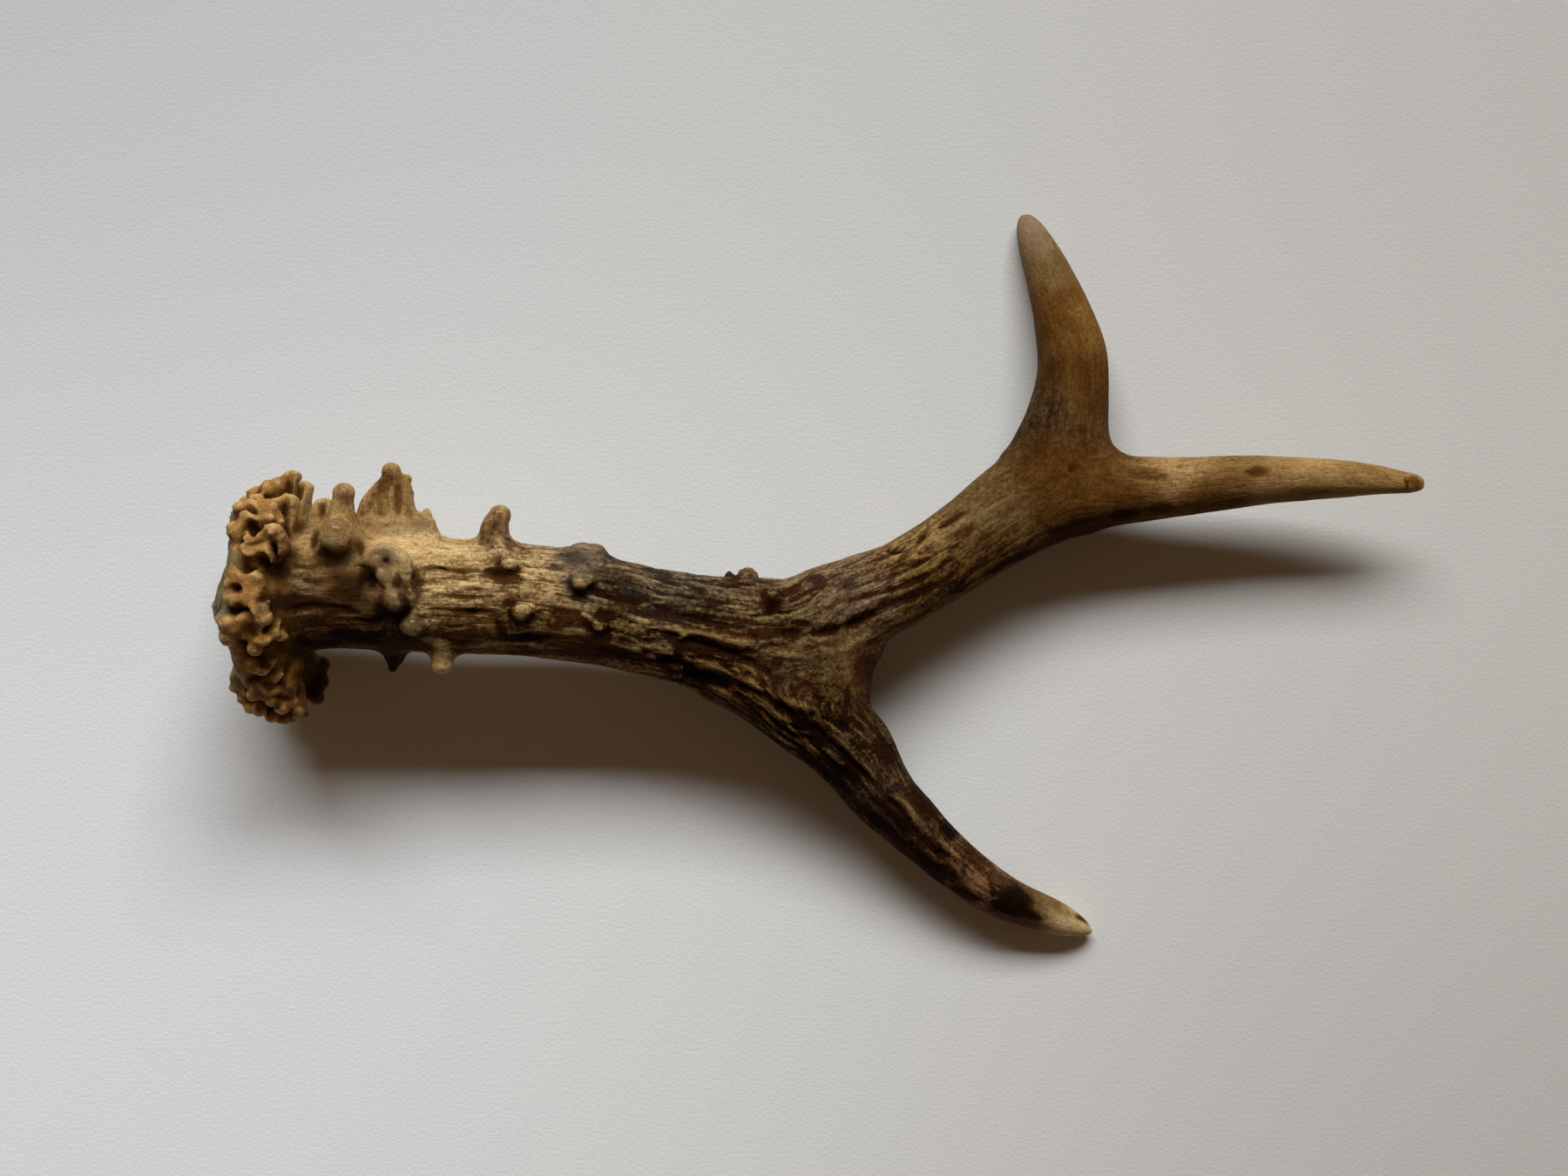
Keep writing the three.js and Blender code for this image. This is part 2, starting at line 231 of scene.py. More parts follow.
def movePoints(mesh, points):
    # puts the points in the mesh and gives back its normals
    mesh.vertices.foreach_set("co", points.astype(np.float32).ravel())
    mesh.update()
    normals = np.empty(len(points) * 3)
    mesh.vertices.foreach_get("normal", normals)
    return normals.reshape(-1, 3)


def neighbourMean(values, edges):
    # each point's mean over the points that it shares an edge with
    count = len(values)
    a, b = edges[:, 0], edges[:, 1]
    degree = np.maximum(np.bincount(a, minlength=count) + np.bincount(b, minlength=count), 1)
    columns = values.reshape(count, -1)
    total = [np.bincount(a, columns[b, k], count) + np.bincount(b, columns[a, k], count)
             for k in range(columns.shape[1])]
    return (np.stack(total, 1) / degree[:, None]).reshape(values.shape)


def relax(values, edges, turns, share=0.5):
    for turn in range(turns):
        values = values + (neighbourMean(values, edges) - values) * share
    return values


def fillCreases(mesh, points, edges, turns, share=0.6):
    # hollows rise and nothing sinks, so that what is joined looks grown together
    for turn in range(turns):
        if turn % 5 == 0:
            normals = movePoints(mesh, points)
        lift = np.maximum(((neighbourMean(points, edges) - points) * normals).sum(1), 0)
        points = points + normals * (lift * share)[:, None]
    return points


spikes = {  # each from the foot to the tip: x, y, z, radius
    "bigPearlStalk": [(-74.2, 1, 24, 5), (-73.8, 5, 26.4, 4), (-73.6, 7.2, 28.4, 3.3),
        (-73.4, 8.4, 30, 2.9)],
    "tallPearlStalk": [(-73.8, 4, 22, 4.8), (-73.7, 9, 25.4, 3), (-73.5, 12.4, 26.6, 2.45),
        (-73.2, 14.8, 27.2, 2.1)],
    "upperSpike": [(-49.2, 2, 21, 4.8), (-48.9, 6.4, 21.6, 3.5), (-48.8, 9.2, 21.9, 2.75),
        (-48.3, 11.4, 22, 2.35)],
    "wedge": [(-57, -4, 22, 4.8), (-57, -7.6, 23, 3.5), (-57.2, -10.6, 23.5, 2.5),
        (-57.4, -12.4, 23.6, 1.9)],
    "darkSpike": [(-66.1, -6.4, 17.8, 3.8), (-66.2, -9.9, 17, 2.6), (-66.5, -12.2, 16.6, 1.7),
        (-66.8, -13.6, 16.5, 0.9)],
    "rearHump": [(-34.4, 0.6, 19.5, 5.6), (-34.2, 3.4, 20, 4.4), (-34.4, 5, 20.2, 2.9),
        (-31.9, 4.9, 20.2, 3)],
}
flange = {  # the broad crest behind the big pearl: its outer edge, x, y, z in mm
    "rim": [(-71.9, 12.2, 22.5), (-71.3, 14.6, 22.7), (-70.2, 16.1, 22.8), (-68.6, 17.8, 23),
        (-67.2, 19, 23), (-66.4, 19.8, 23), (-65.4, 19.9, 23), (-64.6, 19.2, 23), (-64.2, 18.6, 22.6),
        (-63.6, 18.7, 22.4), (-63.2, 17.9, 22.2), (-63.4, 16.6, 22), (-63.4, 15.2, 21.8),
        (-62.6, 13.2, 21.6), (-61.3, 12.5, 21.5), (-60.2, 12.8, 21.5), (-59.6, 12.2, 21.5),
        (-60, 10.6, 21.5), (-59.2, 9.2, 21.5), (-57.8, 8.2, 21.5)],
    "tab": [(-79.6, 12.6, 21.5), (-79.2, 14.6, 21.8), (-78, 15.2, 22), (-76.6, 15.4, 22), (-75.6, 14, 22)],
    "foot": 6.5,           # mm from the middle of the beam to where the crest and its tab start
    "rootHalf": 3.0,       # half thickness there
    "rimHalf": 1.0,
}


def axisFoot(point, radius):
    # the place near the middle of the beam that lies under a point of a rim
    middle = np.array((point[0], trunk["axisY"], trunk["axisZ"]))
    outward = np.array(point[:3]) - middle
    outward /= np.linalg.norm(outward)
    return middle + outward * radius


def addFin(whole, rim, foot, rootHalf, rimHalf, dice=None, wave=0.0):
    # a plate from the beam out to its rim, thick at the root and thin at the rim
    line = smoothThrough(rim, 4)
    columns = len(line) - 1
    rows = 8
    roots = np.array([foot(p) for p in line])
    plate = bmesh.new()
    bmesh.ops.create_cube(plate, size=1)
    along = [e for e in plate.edges if abs(e.verts[0].co.x - e.verts[1].co.x) > 0.5]
    bmesh.ops.subdivide_edges(plate, edges=along, cuts=columns - 1, use_grid_fill=True)
    out = [e for e in plate.edges if abs(e.verts[0].co.y - e.verts[1].co.y) > 0.5]
    bmesh.ops.subdivide_edges(plate, edges=out, cuts=rows - 1, use_grid_fill=True)
    along = np.gradient(line, axis=0)
    outward = line - roots
    across = np.cross(along, outward)
    across /= np.maximum(np.linalg.norm(across, axis=1), 1e-6)[:, None]
    shift = dice.uniform(0, 6.28) if dice is not None else 0
    for v in plate.verts:
        i = round((v.co.x + 0.5) * columns)
        t = v.co.y + 0.5
        half = rootHalf * (1 - t) + rimHalf * t
        bend = wave * math.sin(t * 5 + i * 0.45 + shift)
        v.co = Vector(roots[i] * (1 - t) + line[i] * t + across[i] * (v.co.z * 2 * half + bend))
    bmesh.ops.recalc_face_normals(plate, faces=plate.faces)
    addBody(whole, plate)


def addStrand(whole, rows, subdivisions=2, spacing=0.4):
    # a chain of balls along a smooth line: x, y, z, radius
    last = None
    for row in smoothThrough(rows, 10):
        if last is None or np.linalg.norm(row[:3] - last[:3]) > spacing * row[3]:
            addBall(whole, row[:3], (row[3], row[3], row[3]), subdivisions)
            last = row


trunkBodies = bmesh.new()
for rows in branches.values():
    addBody(trunkBodies, sweptBar(rows, trunk["sides"], trunk["stepsPerRow"]))
for middle, sizes in forkWebs:
    addBall(trunkBodies, middle, sizes)
for rows in spikes.values():
    addStrand(trunkBodies, rows)
for rim in (flange["rim"], flange["tab"]):
    addFin(trunkBodies, rim, lambda p: axisFoot(p, flange["foot"]), flange["rootHalf"], flange["rimHalf"])
trunkMesh = voxelSkin(trunkBodies, trunk["voxel"])
points = readPoints(trunkMesh)
edges = readEdges(trunkMesh)
points = fillCreases(trunkMesh, points, edges, trunk["creaseTurns"])
points = relax(points, edges, trunk["smoothTurns"])
movePoints(trunkMesh, points)
detailBodies = bmesh.new()
detailBodies.from_mesh(trunkMesh)
trunkTree = BVHTree.FromBMesh(detailBodies)
print("trunk:", len(points), "points")


def surfaceAbove(x, y):
    # height of the bare trunk's upper surface at a place
    return trunkTree.ray_cast(Vector((x, y, 80)), Vector((0, 0, -1)))[0].z


burr = {  # its fins stand out round the base, each with rounded tips along its rim
    "middleX": -87.0,        # the feet of the fins gather towards here
    "rootRadius": 7.5,       # the fins start this far from the middle of the beam
    "rootHalf": 3,           # half thickness of a fin where it starts
    "rimHalf": 0.78,
    "rimDraw": 0.07,         # share by which the rims are drawn in along x
    "tipRadius": 0.95,       # rounded tips along a rim
    "tipLength": 1.6,        # how much longer than wide they are
    "tipSpread": 0.25,       # how much they differ
    "tipInset": 0.08,        # share of the fin by which they sit inside its rim
    "wave": 0.8,
    "seed": 7,
}
fins = {  # rim of each fin, x, y, z in mm
    "leafOuter": [(-91.4, 13.2, 27), (-89.8, 14, 29), (-87.5, 14.3, 30), (-85.8, 13.9, 30),
        (-84.4, 12.9, 30), (-83.1, 11.5, 30), (-82.3, 10.2, 29.5), (-81.8, 8.9, 29)],
    "leafInner": [(-91.8, 9.8, 31), (-90.2, 10.4, 32), (-88.9, 11, 32.5), (-87.8, 12.1, 32.5),
        (-86.5, 12.2, 32), (-85, 12.1, 31.5), (-83.8, 12.1, 31)],
    "leafTwo": [(-89.9, 14.9, 24), (-88.1, 15.7, 25.5), (-86.7, 15.1, 26), (-84.5, 14.8, 27),
        (-82.9, 15.3, 27.5), (-81.7, 15.7, 27.5), (-80.6, 15.5, 27.5), (-79.8, 14.3, 27)],
    "backKnobs": [(-90.7, 16.1, 20), (-89, 17.3, 21), (-87.7, 17.3, 21), (-86.6, 18.3, 22),
        (-85.7, 17.2, 22), (-85, 18.2, 22), (-83.3, 18.7, 23), (-82, 19.7, 23), (-80.8, 19.6, 23)],
    "backTab": [(-81.9, 17.6, 19.5), (-80.9, 18.2, 20), (-79.6, 18, 20), (-78.7, 17.2, 20.5)],
    "smallPyramid": [(-88.2, 8.3, 33.5), (-87.4, 8.5, 34), (-86.2, 8.4, 34.5), (-84.5, 9, 35.5),
        (-83.4, 9.5, 36), (-82.5, 10.1, 36.5), (-81.9, 9.7, 36.5), (-81.6, 8.8, 36), (-81.1, 7.5, 35),
        (-80.6, 6.4, 34)],
    "ridgeFour": [(-88.2, 7.3, 34.5), (-87.3, 7, 35.5), (-86.1, 6.4, 36), (-84.6, 6.5, 36.5),
        (-83.4, 6.3, 36.5), (-82.6, 5.5, 35)],
    "ridgeFive": [(-90.8, 2.9, 36), (-89.1, 2.4, 36.5), (-87.4, 2.1, 36.5), (-85.7, 2, 36.5),
        (-84.4, 1.6, 35)],
    "ridgeSix": [(-91, 1.6, 36.5), (-89.2, 1.2, 37), (-87.8, 0.6, 37), (-86.4, 0.1, 37),
        (-85.1, 0.3, 36.5), (-84, 0.5, 35.5)],
    "brightSeven": [(-91, -2.1, 36.5), (-89.7, -1.5, 37), (-88.3, -1.8, 37), (-86.7, -2.4, 37),
        (-85.4, -2.9, 37.4), (-84.4, -3.2, 37.4), (-83.4, -3.4, 36.5)],
    "ridgeEight": [(-92, -6.4, 35), (-90.6, -5.8, 36), (-89.4, -6.2, 36), (-88, -5.9, 36),
        (-86.3, -5.8, 36), (-84.3, -6.2, 36.4)],
    "ridgeNine": [(-92.7, -7.9, 33.5), (-90.9, -8.2, 34.5), (-89, -7.9, 35), (-87.4, -7.9, 35),
        (-85.8, -8.3, 35.5), (-84.7, -8.9, 35.5), (-83.9, -9.3, 35)],
    "boxTen": [(-84.1, -6.9, 34.5), (-83.1, -7.9, 34.5), (-82.1, -8.4, 34), (-81.4, -7.2, 33)],
    "hanging": [(-88.2, -11, 31), (-87.4, -12.7, 31), (-86.8, -13.9, 30.5), (-86, -14.2, 30.5),
        (-85.2, -13.5, 30.5), (-84.8, -11.9, 31)],
    "hangingTwo": [(-88.2, -15.9, 27), (-87.5, -17.5, 26.5), (-86.6, -18.3, 26), (-85.3, -17.7, 26.5),
        (-84.5, -16.2, 27), (-83.7, -14.3, 28)],
    "beadedSide": [(-90.6, -13.6, 23), (-92.2, -15.2, 22), (-92.4, -16.8, 21), (-91.4, -18.4, 20.5)],
    "lowerRim": [(-92.6, -15.8, 20), (-92.6, -17.7, 19.5), (-91.6, -19.2, 19), (-89.9, -20.7, 18.5),
        (-88, -22.1, 18), (-85.6, -22.9, 18), (-83.5, -22.8, 18), (-81.8, -22.2, 18.5), (-81, -20.5, 19)],
    "boxLow": [(-84.9, -17.7, 25), (-83.6, -17.7, 25), (-82.4, -18.6, 25), (-82, -19.9, 24.5),
        (-83.4, -20.8, 24), (-84.7, -20.4, 24.5)],
    "darkTwist": [(-82.3, -11.5, 14), (-80.6, -12.3, 12), (-80.1, -14, 11), (-80.5, -16.1, 11),
        (-80.8, -18, 12), (-82, -19.3, 14)],
}
hiddenFins = {  # fins on the underside: turn about the beam from straight up, reach, and where they lean
    "turns": [112, 128, 143, 158, 172, 187, 202, 217, 233],
    "reach": [20, 20.6, 20.8, 21, 21.1, 21.2, 21, 20.8, 21],
    "startX": -93.5,
    "endX": -82,
    "rimPoints": 6,
    "turnSpread": 3,       # degrees
    "peak": 2.4,           # the point of the rim that stands out furthest
    "fall": 1.3,           # mm that the rim drops from there to each next point
    "reachSpread": 0.7,
}


def burrFoot(point):
    gathered = point[0] * 0.65 + burr["middleX"] * 0.35
    return axisFoot((gathered, point[1], point[2]), burr["rootRadius"])


def addBurrFin(whole, rim, dice):
    # a fin of the burr, drawn in a little towards the middle, with rounded tips along its rim
    rim = [(x + (burr["middleX"] - x) * burr["rimDraw"], y, z) for x, y, z in rim]
    addFin(whole, rim, burrFoot, burr["rootHalf"], burr["rimHalf"], dice, burr["wave"])
    for p in rim[1:-1:2]:
        radius = burr["tipRadius"] * (1 + dice.uniform(-1, 1) * burr["tipSpread"])
        inward = (burrFoot(p) - np.array(p)) * burr["tipInset"]
        addBall(whole, np.array(p) + inward, (radius * burr["tipLength"], radius, radius), 2)


dice = np.random.default_rng(burr["seed"])
for rim in fins.values():
    addBurrFin(detailBodies, rim, dice)
for turn, reach in zip(hiddenFins["turns"], hiddenFins["reach"]):
    rim = []
    steps = np.linspace(hiddenFins["startX"], hiddenFins["endX"], hiddenFins["rimPoints"])
    for step, x in enumerate(steps):
        angle = math.radians(turn + dice.uniform(-hiddenFins["turnSpread"], hiddenFins["turnSpread"]))
        drop = hiddenFins["fall"] * abs(step - hiddenFins["peak"]) * dice.uniform(0.5, 1)
        far = reach - drop - dice.uniform(0, hiddenFins["reachSpread"])
        rim.append((x, trunk["axisY"] + far * math.sin(angle), trunk["axisZ"] + far * math.cos(angle)))
    addBurrFin(detailBodies, rim, dice)
print("burr: fins stand round the base")


burrKnobs = [  # loose knobs of the burr: x, y, z, radius
    (-81.6, -12.3, 14.5, 1.6), (-79.5, -13.1, 13, 1.5), (-79.9, -16, 13, 1.7), (-83.1, -18, 14, 1.5),
    (-80.3, -18.8, 13.5, 1.4), (-92.9, -16.8, 20, 1), (-91.7, -18.6, 19.5, 1.1), (-85.4, -18.6, 25, 1.2),
    (-84, -19.9, 24, 1.2), (-81.9, -21.1, 20.5, 1.2), (-88.2, -20.4, 22, 1.2), (-90.4, -20.2, 19.5, 1.1),
    (-86.6, -21.6, 20, 1.2), (-88.6, -17.8, 25, 1.1), (-90, -13.5, 28, 1.2), (-84.6, 13.2, 29.5, 1.3),
    (-84.4, -4.8, 36, 1.5), (-86.2, -9.8, 33.6, 1.5), (-86.2, 16.6, 23, 1.5), (-84.8, 17.2, 23, 1.5),
]
for x, y, z, radius in burrKnobs:
    addBall(detailBodies, (x, y, z), (radius, radius, radius), 2)


pearls = [  # of the beam: x, y, radius, how far the middle stands above the trunk, mm
    (-63.7, -2, 2.05, 1.2), (-61.3, -6.1, 1.9, 0.9), (-67.2, -6.6, 0.95, 0.2), (-61, -4, 1.2, 0.2),
    (-45.6, 3.9, 1.45, 0.6), (-43.3, -4, 1.5, 0.8), (-33.7, 1, 1.5, 0.9), (-30.8, -6.3, 1.2, 0.2),
    (-1.9, -1, 1.2, 0.5), (-1.9, -2.4, 0.9, 0.4), (-17, -8.3, 0.9, 0.3), (-18, -14.6, 0.9, 0.4),
    (-18.4, -13.2, 0.8, 0.2),
]
caps = [  # balls that end a spike: x, y, z and half sizes
    ((-73.5, 8.6, 31), (2.8, 3, 2.6)), ((-73, 15.7, 27.4), (2, 1.9, 1.8)),
    ((-65.9, 19.5, 23), (1.75, 1.7, 1.5)), ((-47.8, 12.2, 22), (2, 1.9, 2)),
    ((-57.4, -12.9, 23.6), (1.9, 1.7, 1.9)), ((-66.8, -13.7, 16.5), (0.9, 0.8, 0.9)),
    ((-6.2, 1.9, 18.3), (1.75, 1.7, 1.6)), ((-9.3, 2.3, 17.5), (0.8, 0.8, 0.8)),
    ((-63.4, 18.3, 22.4), (1, 1, 0.9)), ((-60.1, 12.7, 21.5), (0.8, 0.9, 0.8)),
    ((-62.7, 15.9, 22), (0.6, 0.6, 0.6)),
]
strands = {  # small ridges that lie on the beam: x, y, radius, height of the middle over the trunk
    "hook": [(-69.4, 4.6, 0.9, 0.5), (-68, 5.8, 1.2, 1.1), (-66.3, 6.2, 1.4, 1.5), (-64.4, 5.7, 1.5, 1.6),
        (-62.7, 4.6, 1.4, 1.5), (-61.8, 3.1, 1.1, 1.2), (-61.7, 1.4, 0.8, 0.6)],
    "hookInner": [(-67.2, 3.8, 1.2, 0.9), (-66.2, 2.5, 1.3, 1.3), (-65.1, 1.2, 1.1, 1.1),
        (-64.2, -0.2, 0.9, 0.8)],
    "hookMiddle": [(-64.2, 3.6, 0.8, 1), (-63.5, 2.4, 0.8, 1), (-62.8, -0.4, 0.9, 0.8),
        (-62.1, -3, 1.1, 0.7)],
    "brownKnob": [(-70.2, -6.4, 0.5, 0.1), (-69.4, -7.1, 0.9, 0.3), (-68.4, -7, 0.6, 0.1)],
    "sideRidge": [(-59.4, 4, 0.5, 0), (-57.6, 3.6, 0.8, 0.2), (-55.4, 3.3, 0.6, 0)],
    "spikeRidge": [(-47.6, 7.6, 1.4, 0.6), (-46.9, 5.9, 1.2, 0.5), (-46, 4.5, 1.2, 0.4)],
    "ringPearl": [(-45, -3.4, 0.8, 0.2), (-44.6, -5, 0.8, 0.2), (-43.4, -5.7, 0.8, 0.1),
        (-41.9, -5, 0.7, 0.1), (-41.6, -3.2, 0.6, 0.1)],
    "loop": [(-33.5, -3.8, 0.6, 0), (-32.3, -4.8, 0.8, 0.2), (-31.2, -6, 0.8, 0.2),
        (-31.6, -7.4, 0.6, 0.1)],
    "tailRidge": [(-68.8, -7.6, 0.8, 0.1), (-66.8, -7.8, 1, 0.3), (-65.4, -7.2, 0.8, 0.1)],
}
for x, y, radius, lift in pearls:      # each runs out into the beam on both sides
    top = surfaceAbove(x, y) + lift
    lean = dice.uniform(-0.4, 0.4) * radius
    addStrand(detailBodies, [(x - 1.5 * radius, y + lean, top - 0.8 * radius, 0.5 * radius),
                             (x - 0.4 * radius, y + 0.3 * lean, top - 0.2 * radius, 0.9 * radius),
                             (x + 0.2 * radius, y, top, radius),
                             (x + 1.4 * radius, y - lean, top - 0.8 * radius, 0.5 * radius)])
for middle, sizes in caps:
    addBall(detailBodies, middle, sizes)
for rows in strands.values():
    addStrand(detailBodies, [(x, y, surfaceAbove(x, y) + lift, radius) for x, y, radius, lift in rows])
detail = {
    "voxel": 0.42,
    "creaseTurns": 8,
    "burrTurns": 10,       # the burr's fins are grown together further than the rest
    "smoothTurns": 1,
    "burrStart": 80,       # mm from the origin towards -x: the burr begins
    "burrFull": 82.5,
}
skin = voxelSkin(detailBodies, detail["voxel"])
points = readPoints(skin)
edges = readEdges(skin)
points = fillCreases(skin, points, edges, detail["creaseTurns"])
filled = fillCreases(skin, points, edges, detail["burrTurns"])
burrShare = ramp(-points[:, 0], detail["burrStart"], detail["burrFull"])[:, None]
points = points + (filled - points) * burrShare
points = relax(points, edges, detail["smoothTurns"])
print("whole skin:", len(points), "points")


# how many mm further along the fibres of each branch start, so that no two branches share a pattern
fibreShift = {"lowerBeam": 0, "upperBeam": 86, "frontTine": 80, "rearTine": 146, "topTine": 144}


def branchPlace(points, rows, shift):
    # closeness to a branch, and how far along, beside and above its middle line a point lies
    line = smoothThrough(rows, 6)
    centre = line[:, :3]
    step = np.linalg.norm(np.diff(centre, axis=0), axis=1)
    arc = np.concatenate([[0], np.cumsum(step)])
    forward, side, top = lineFrame(centre)
    nearest = np.empty(len(points), int)
    batch = 20000     # points at a time, which keeps the memory small
    for start in range(0, len(points), batch):
        some = points[start:start + batch]
        gap = (centre**2).sum(1)[None] - 2 * some @ centre.T
        nearest[start:start + batch] = gap.argmin(1)
    offset = points - centre[nearest]
    ahead = (offset * forward[nearest]).sum(1)
    beyond = np.where((nearest == 0) | (nearest == len(centre) - 1), np.abs(ahead), 0)
    beside = (offset * side[nearest]).sum(1)
    above = (offset * top[nearest]).sum(1)
    swollen = np.maximum(line[nearest, 3:], 2.5)
    closeness = np.hypot(beside / swollen[:, 0], above / swollen[:, 1]) + beyond / 4
    return closeness, np.stack([arc[nearest] + ahead + shift, beside, above], 1)


places = [branchPlace(points, rows, fibreShift[name]) for name, rows in branches.items()]
closeness = np.stack([p[0] for p in places], 1)
share = np.exp(-7 * (closeness - closeness.min(1, keepdims=True)))
share /= share.sum(1, keepdims=True)
fibre = sum(share[:, k:k + 1] * places[k][1] for k in range(len(places)))
print("fibres run along the branches")


bone = {  # colours of weathered antler, from washed ridges to soaked hollows
    "cream": "#d9bb86", "straw": "#c9a671", "tan": "#a98a54", "ochre": "#8f6b38", "umber": "#694822",
    "amber": "#4b2e10", "brown": "#452910", "dark": "#2b170a", "black": "#150b06", "greyTan": "#8e7a5e",
    "grey": "#6b5d4c", "slate": "#342d24", "plum": "#3a2218", "khaki": "#826f49", "honey": "#b98038",
    "resin": "#5f3c15", "moss": "#918762", "peach": "#9c7450", "toffee": "#6e4c1e", "ash": "#a08a62",
    "pearlBrown": "#6f5a48", "ivory": "#d6bd8e", "rust": "#6c3f1a",
}
zones = [  # x, y, ridge colour, groove colour, groove depth mm, share of dark
    (-95, 0, "moss", "dark", 0.05, 0.7), (-87, 12, "straw", "umber", 0.02, 0.3),
    # (-86, -16) and (-81, -16): the burr's lower side, turned away from the light, painted darker as shade
    (-87, 0, "straw", "umber", 0.02, 0.35), (-86, -16, "tan", "brown", 0.02, 0.4),
    (-81, -16, "brown", "black", 0.02, 0.6), (-79, 6, "straw", "ochre", 0.06, 0.3),
    # (-78, 0.5): partly stained, partly painted shadow of the big pearl and the hook
    (-78, 0.5, "greyTan", "dark", 0.1, 0.6), (-77, -7, "ochre", "dark", 0.12, 0.6),
    (-70, 8, "straw", "ochre", 0.06, 0.25), (-66, 15, "tan", "umber", 0.06, 0.55),
    # (-71.5, -0.5): partly stained, partly painted shadow of the big pearl and the hook
    (-71.5, -0.5, "umber", "dark", 0.06, 0.75), (-66, -9, "umber", "black", 0.12, 0.7),
    (-56, 6, "cream", "tan", 0.12, 0.25), (-64, 8, "cream", "straw", 0.06, 0.2),
    (-54, 0, "cream", "umber", 0.35, 0.3), (-53, -7, "tan", "brown", 0.16, 0.52),
    (-57, -12, "cream", "umber", 0.05, 0.3), (-43, 3, "cream", "umber", 0.15, 0.35),
    (-42, -5, "straw", "brown", 0.2, 0.5), (-48, -10, "tan", "umber", 0.1, 0.4),
    (-36, -10, "tan", "brown", 0.1, 0.45), (-34, 5, "greyTan", "grey", 0.12, 0.4),
    (-30, 0, "greyTan", "dark", 0.3, 0.44), (-28, -8, "tan", "dark", 0.15, 0.5),
    (-18, 1, "greyTan", "slate", 0.22, 0.38), (-14, -6, "khaki", "dark", 0.32, 0.42),
    (-12, -14, "ochre", "dark", 0.45, 0.55), (0, 2, "greyTan", "brown", 0.22, 0.42),
    (0, -5, "khaki", "dark", 0.3, 0.48), (2, -13, "khaki", "brown", 0.15, 0.3),
    (8, -13, "khaki", "brown", 0.1, 0.36), (14, -15, "umber", "plum", 0.1, 0.6),
    (2, -22, "ochre", "black", 0.4, 0.66), (12, 1, "greyTan", "brown", 0.16, 0.3),
    (22, 7, "tan", "brown", 0.13, 0.3), (26, 1, "ochre", "dark", 0.15, 0.6),
    (34, 13, "khaki", "amber", 0.06, 0.56), (36, 5, "ochre", "dark", 0.06, 0.66),
    (48, 20, "toffee", "amber", 0.04, 0.74), (56, 17, "toffee", "amber", 0.04, 0.62),
    (56, 11.5, "toffee", "dark", 0.04, 0.6), (44.5, 30, "khaki", "dark", 0.03, 0.76),
    (52, 34, "toffee", "amber", 0.03, 0.7), (47, 48, "toffee", "amber", 0.03, 0.8),
    (52, 48, "ochre", "resin", 0.03, 0.45), (45, 55, "khaki", "resin", 0.02, 0.5),
    (43.5, 62, "greyTan", "umber", 0, 0.2), (68, 20.5, "straw", "umber", 0.04, 0.42),
    (72, 15, "toffee", "amber", 0.04, 0.5), (90, 20, "straw", "ochre", 0.03, 0.45),
    (90, 17, "khaki", "resin", 0.03, 0.5), (106, 18, "tan", "umber", 0.01, 0.5),
    (14, -26, "khaki", "dark", 0.2, 0.66), (8, -34, "umber", "black", 0.35, 0.75),
    (22, -36, "khaki", "plum", 0.12, 0.74), (22, -46, "umber", "black", 0.2, 0.78),
    (34, -50, "peach", "dark", 0.1, 0.6), (42, -57, "umber", "dark", 0.05, 0.5),
    (50, -59.5, "ivory", "tan", 0.01, 0.2),
]
zonePlace = np.array([row[:2] for row in zones], float)
zoneRidge = np.array([linearColour(bone[row[2]]) for row in zones])
zoneGroove = np.array([linearColour(bone[row[3]]) for row in zones])
zoneNumbers = np.array([row[4:] for row in zones], float)
zoneReach = 4.0    # mm, how softly one zone gives way to the next
wander = np.stack([smoothNoise(points, 7, 3), smoothNoise(points, 7, 4)], 1) * 1.5
gap = ((points[:, None, :2] + wander[:, None] - zonePlace[None])**2).sum(2)
weight = 1 / (gap + zoneReach**2)**2
weight /= weight.sum(1, keepdims=True)
ridgeColour = weight @ zoneRidge
grooveColour = weight @ zoneGroove
grooveDepth, darkShare = (weight @ zoneNumbers).T
roughness = np.full(len(points), 0.5)     # dry bone, before any polish
upward = ramp(movePoints(skin, points)[:, 2], -0.1, 0.35)
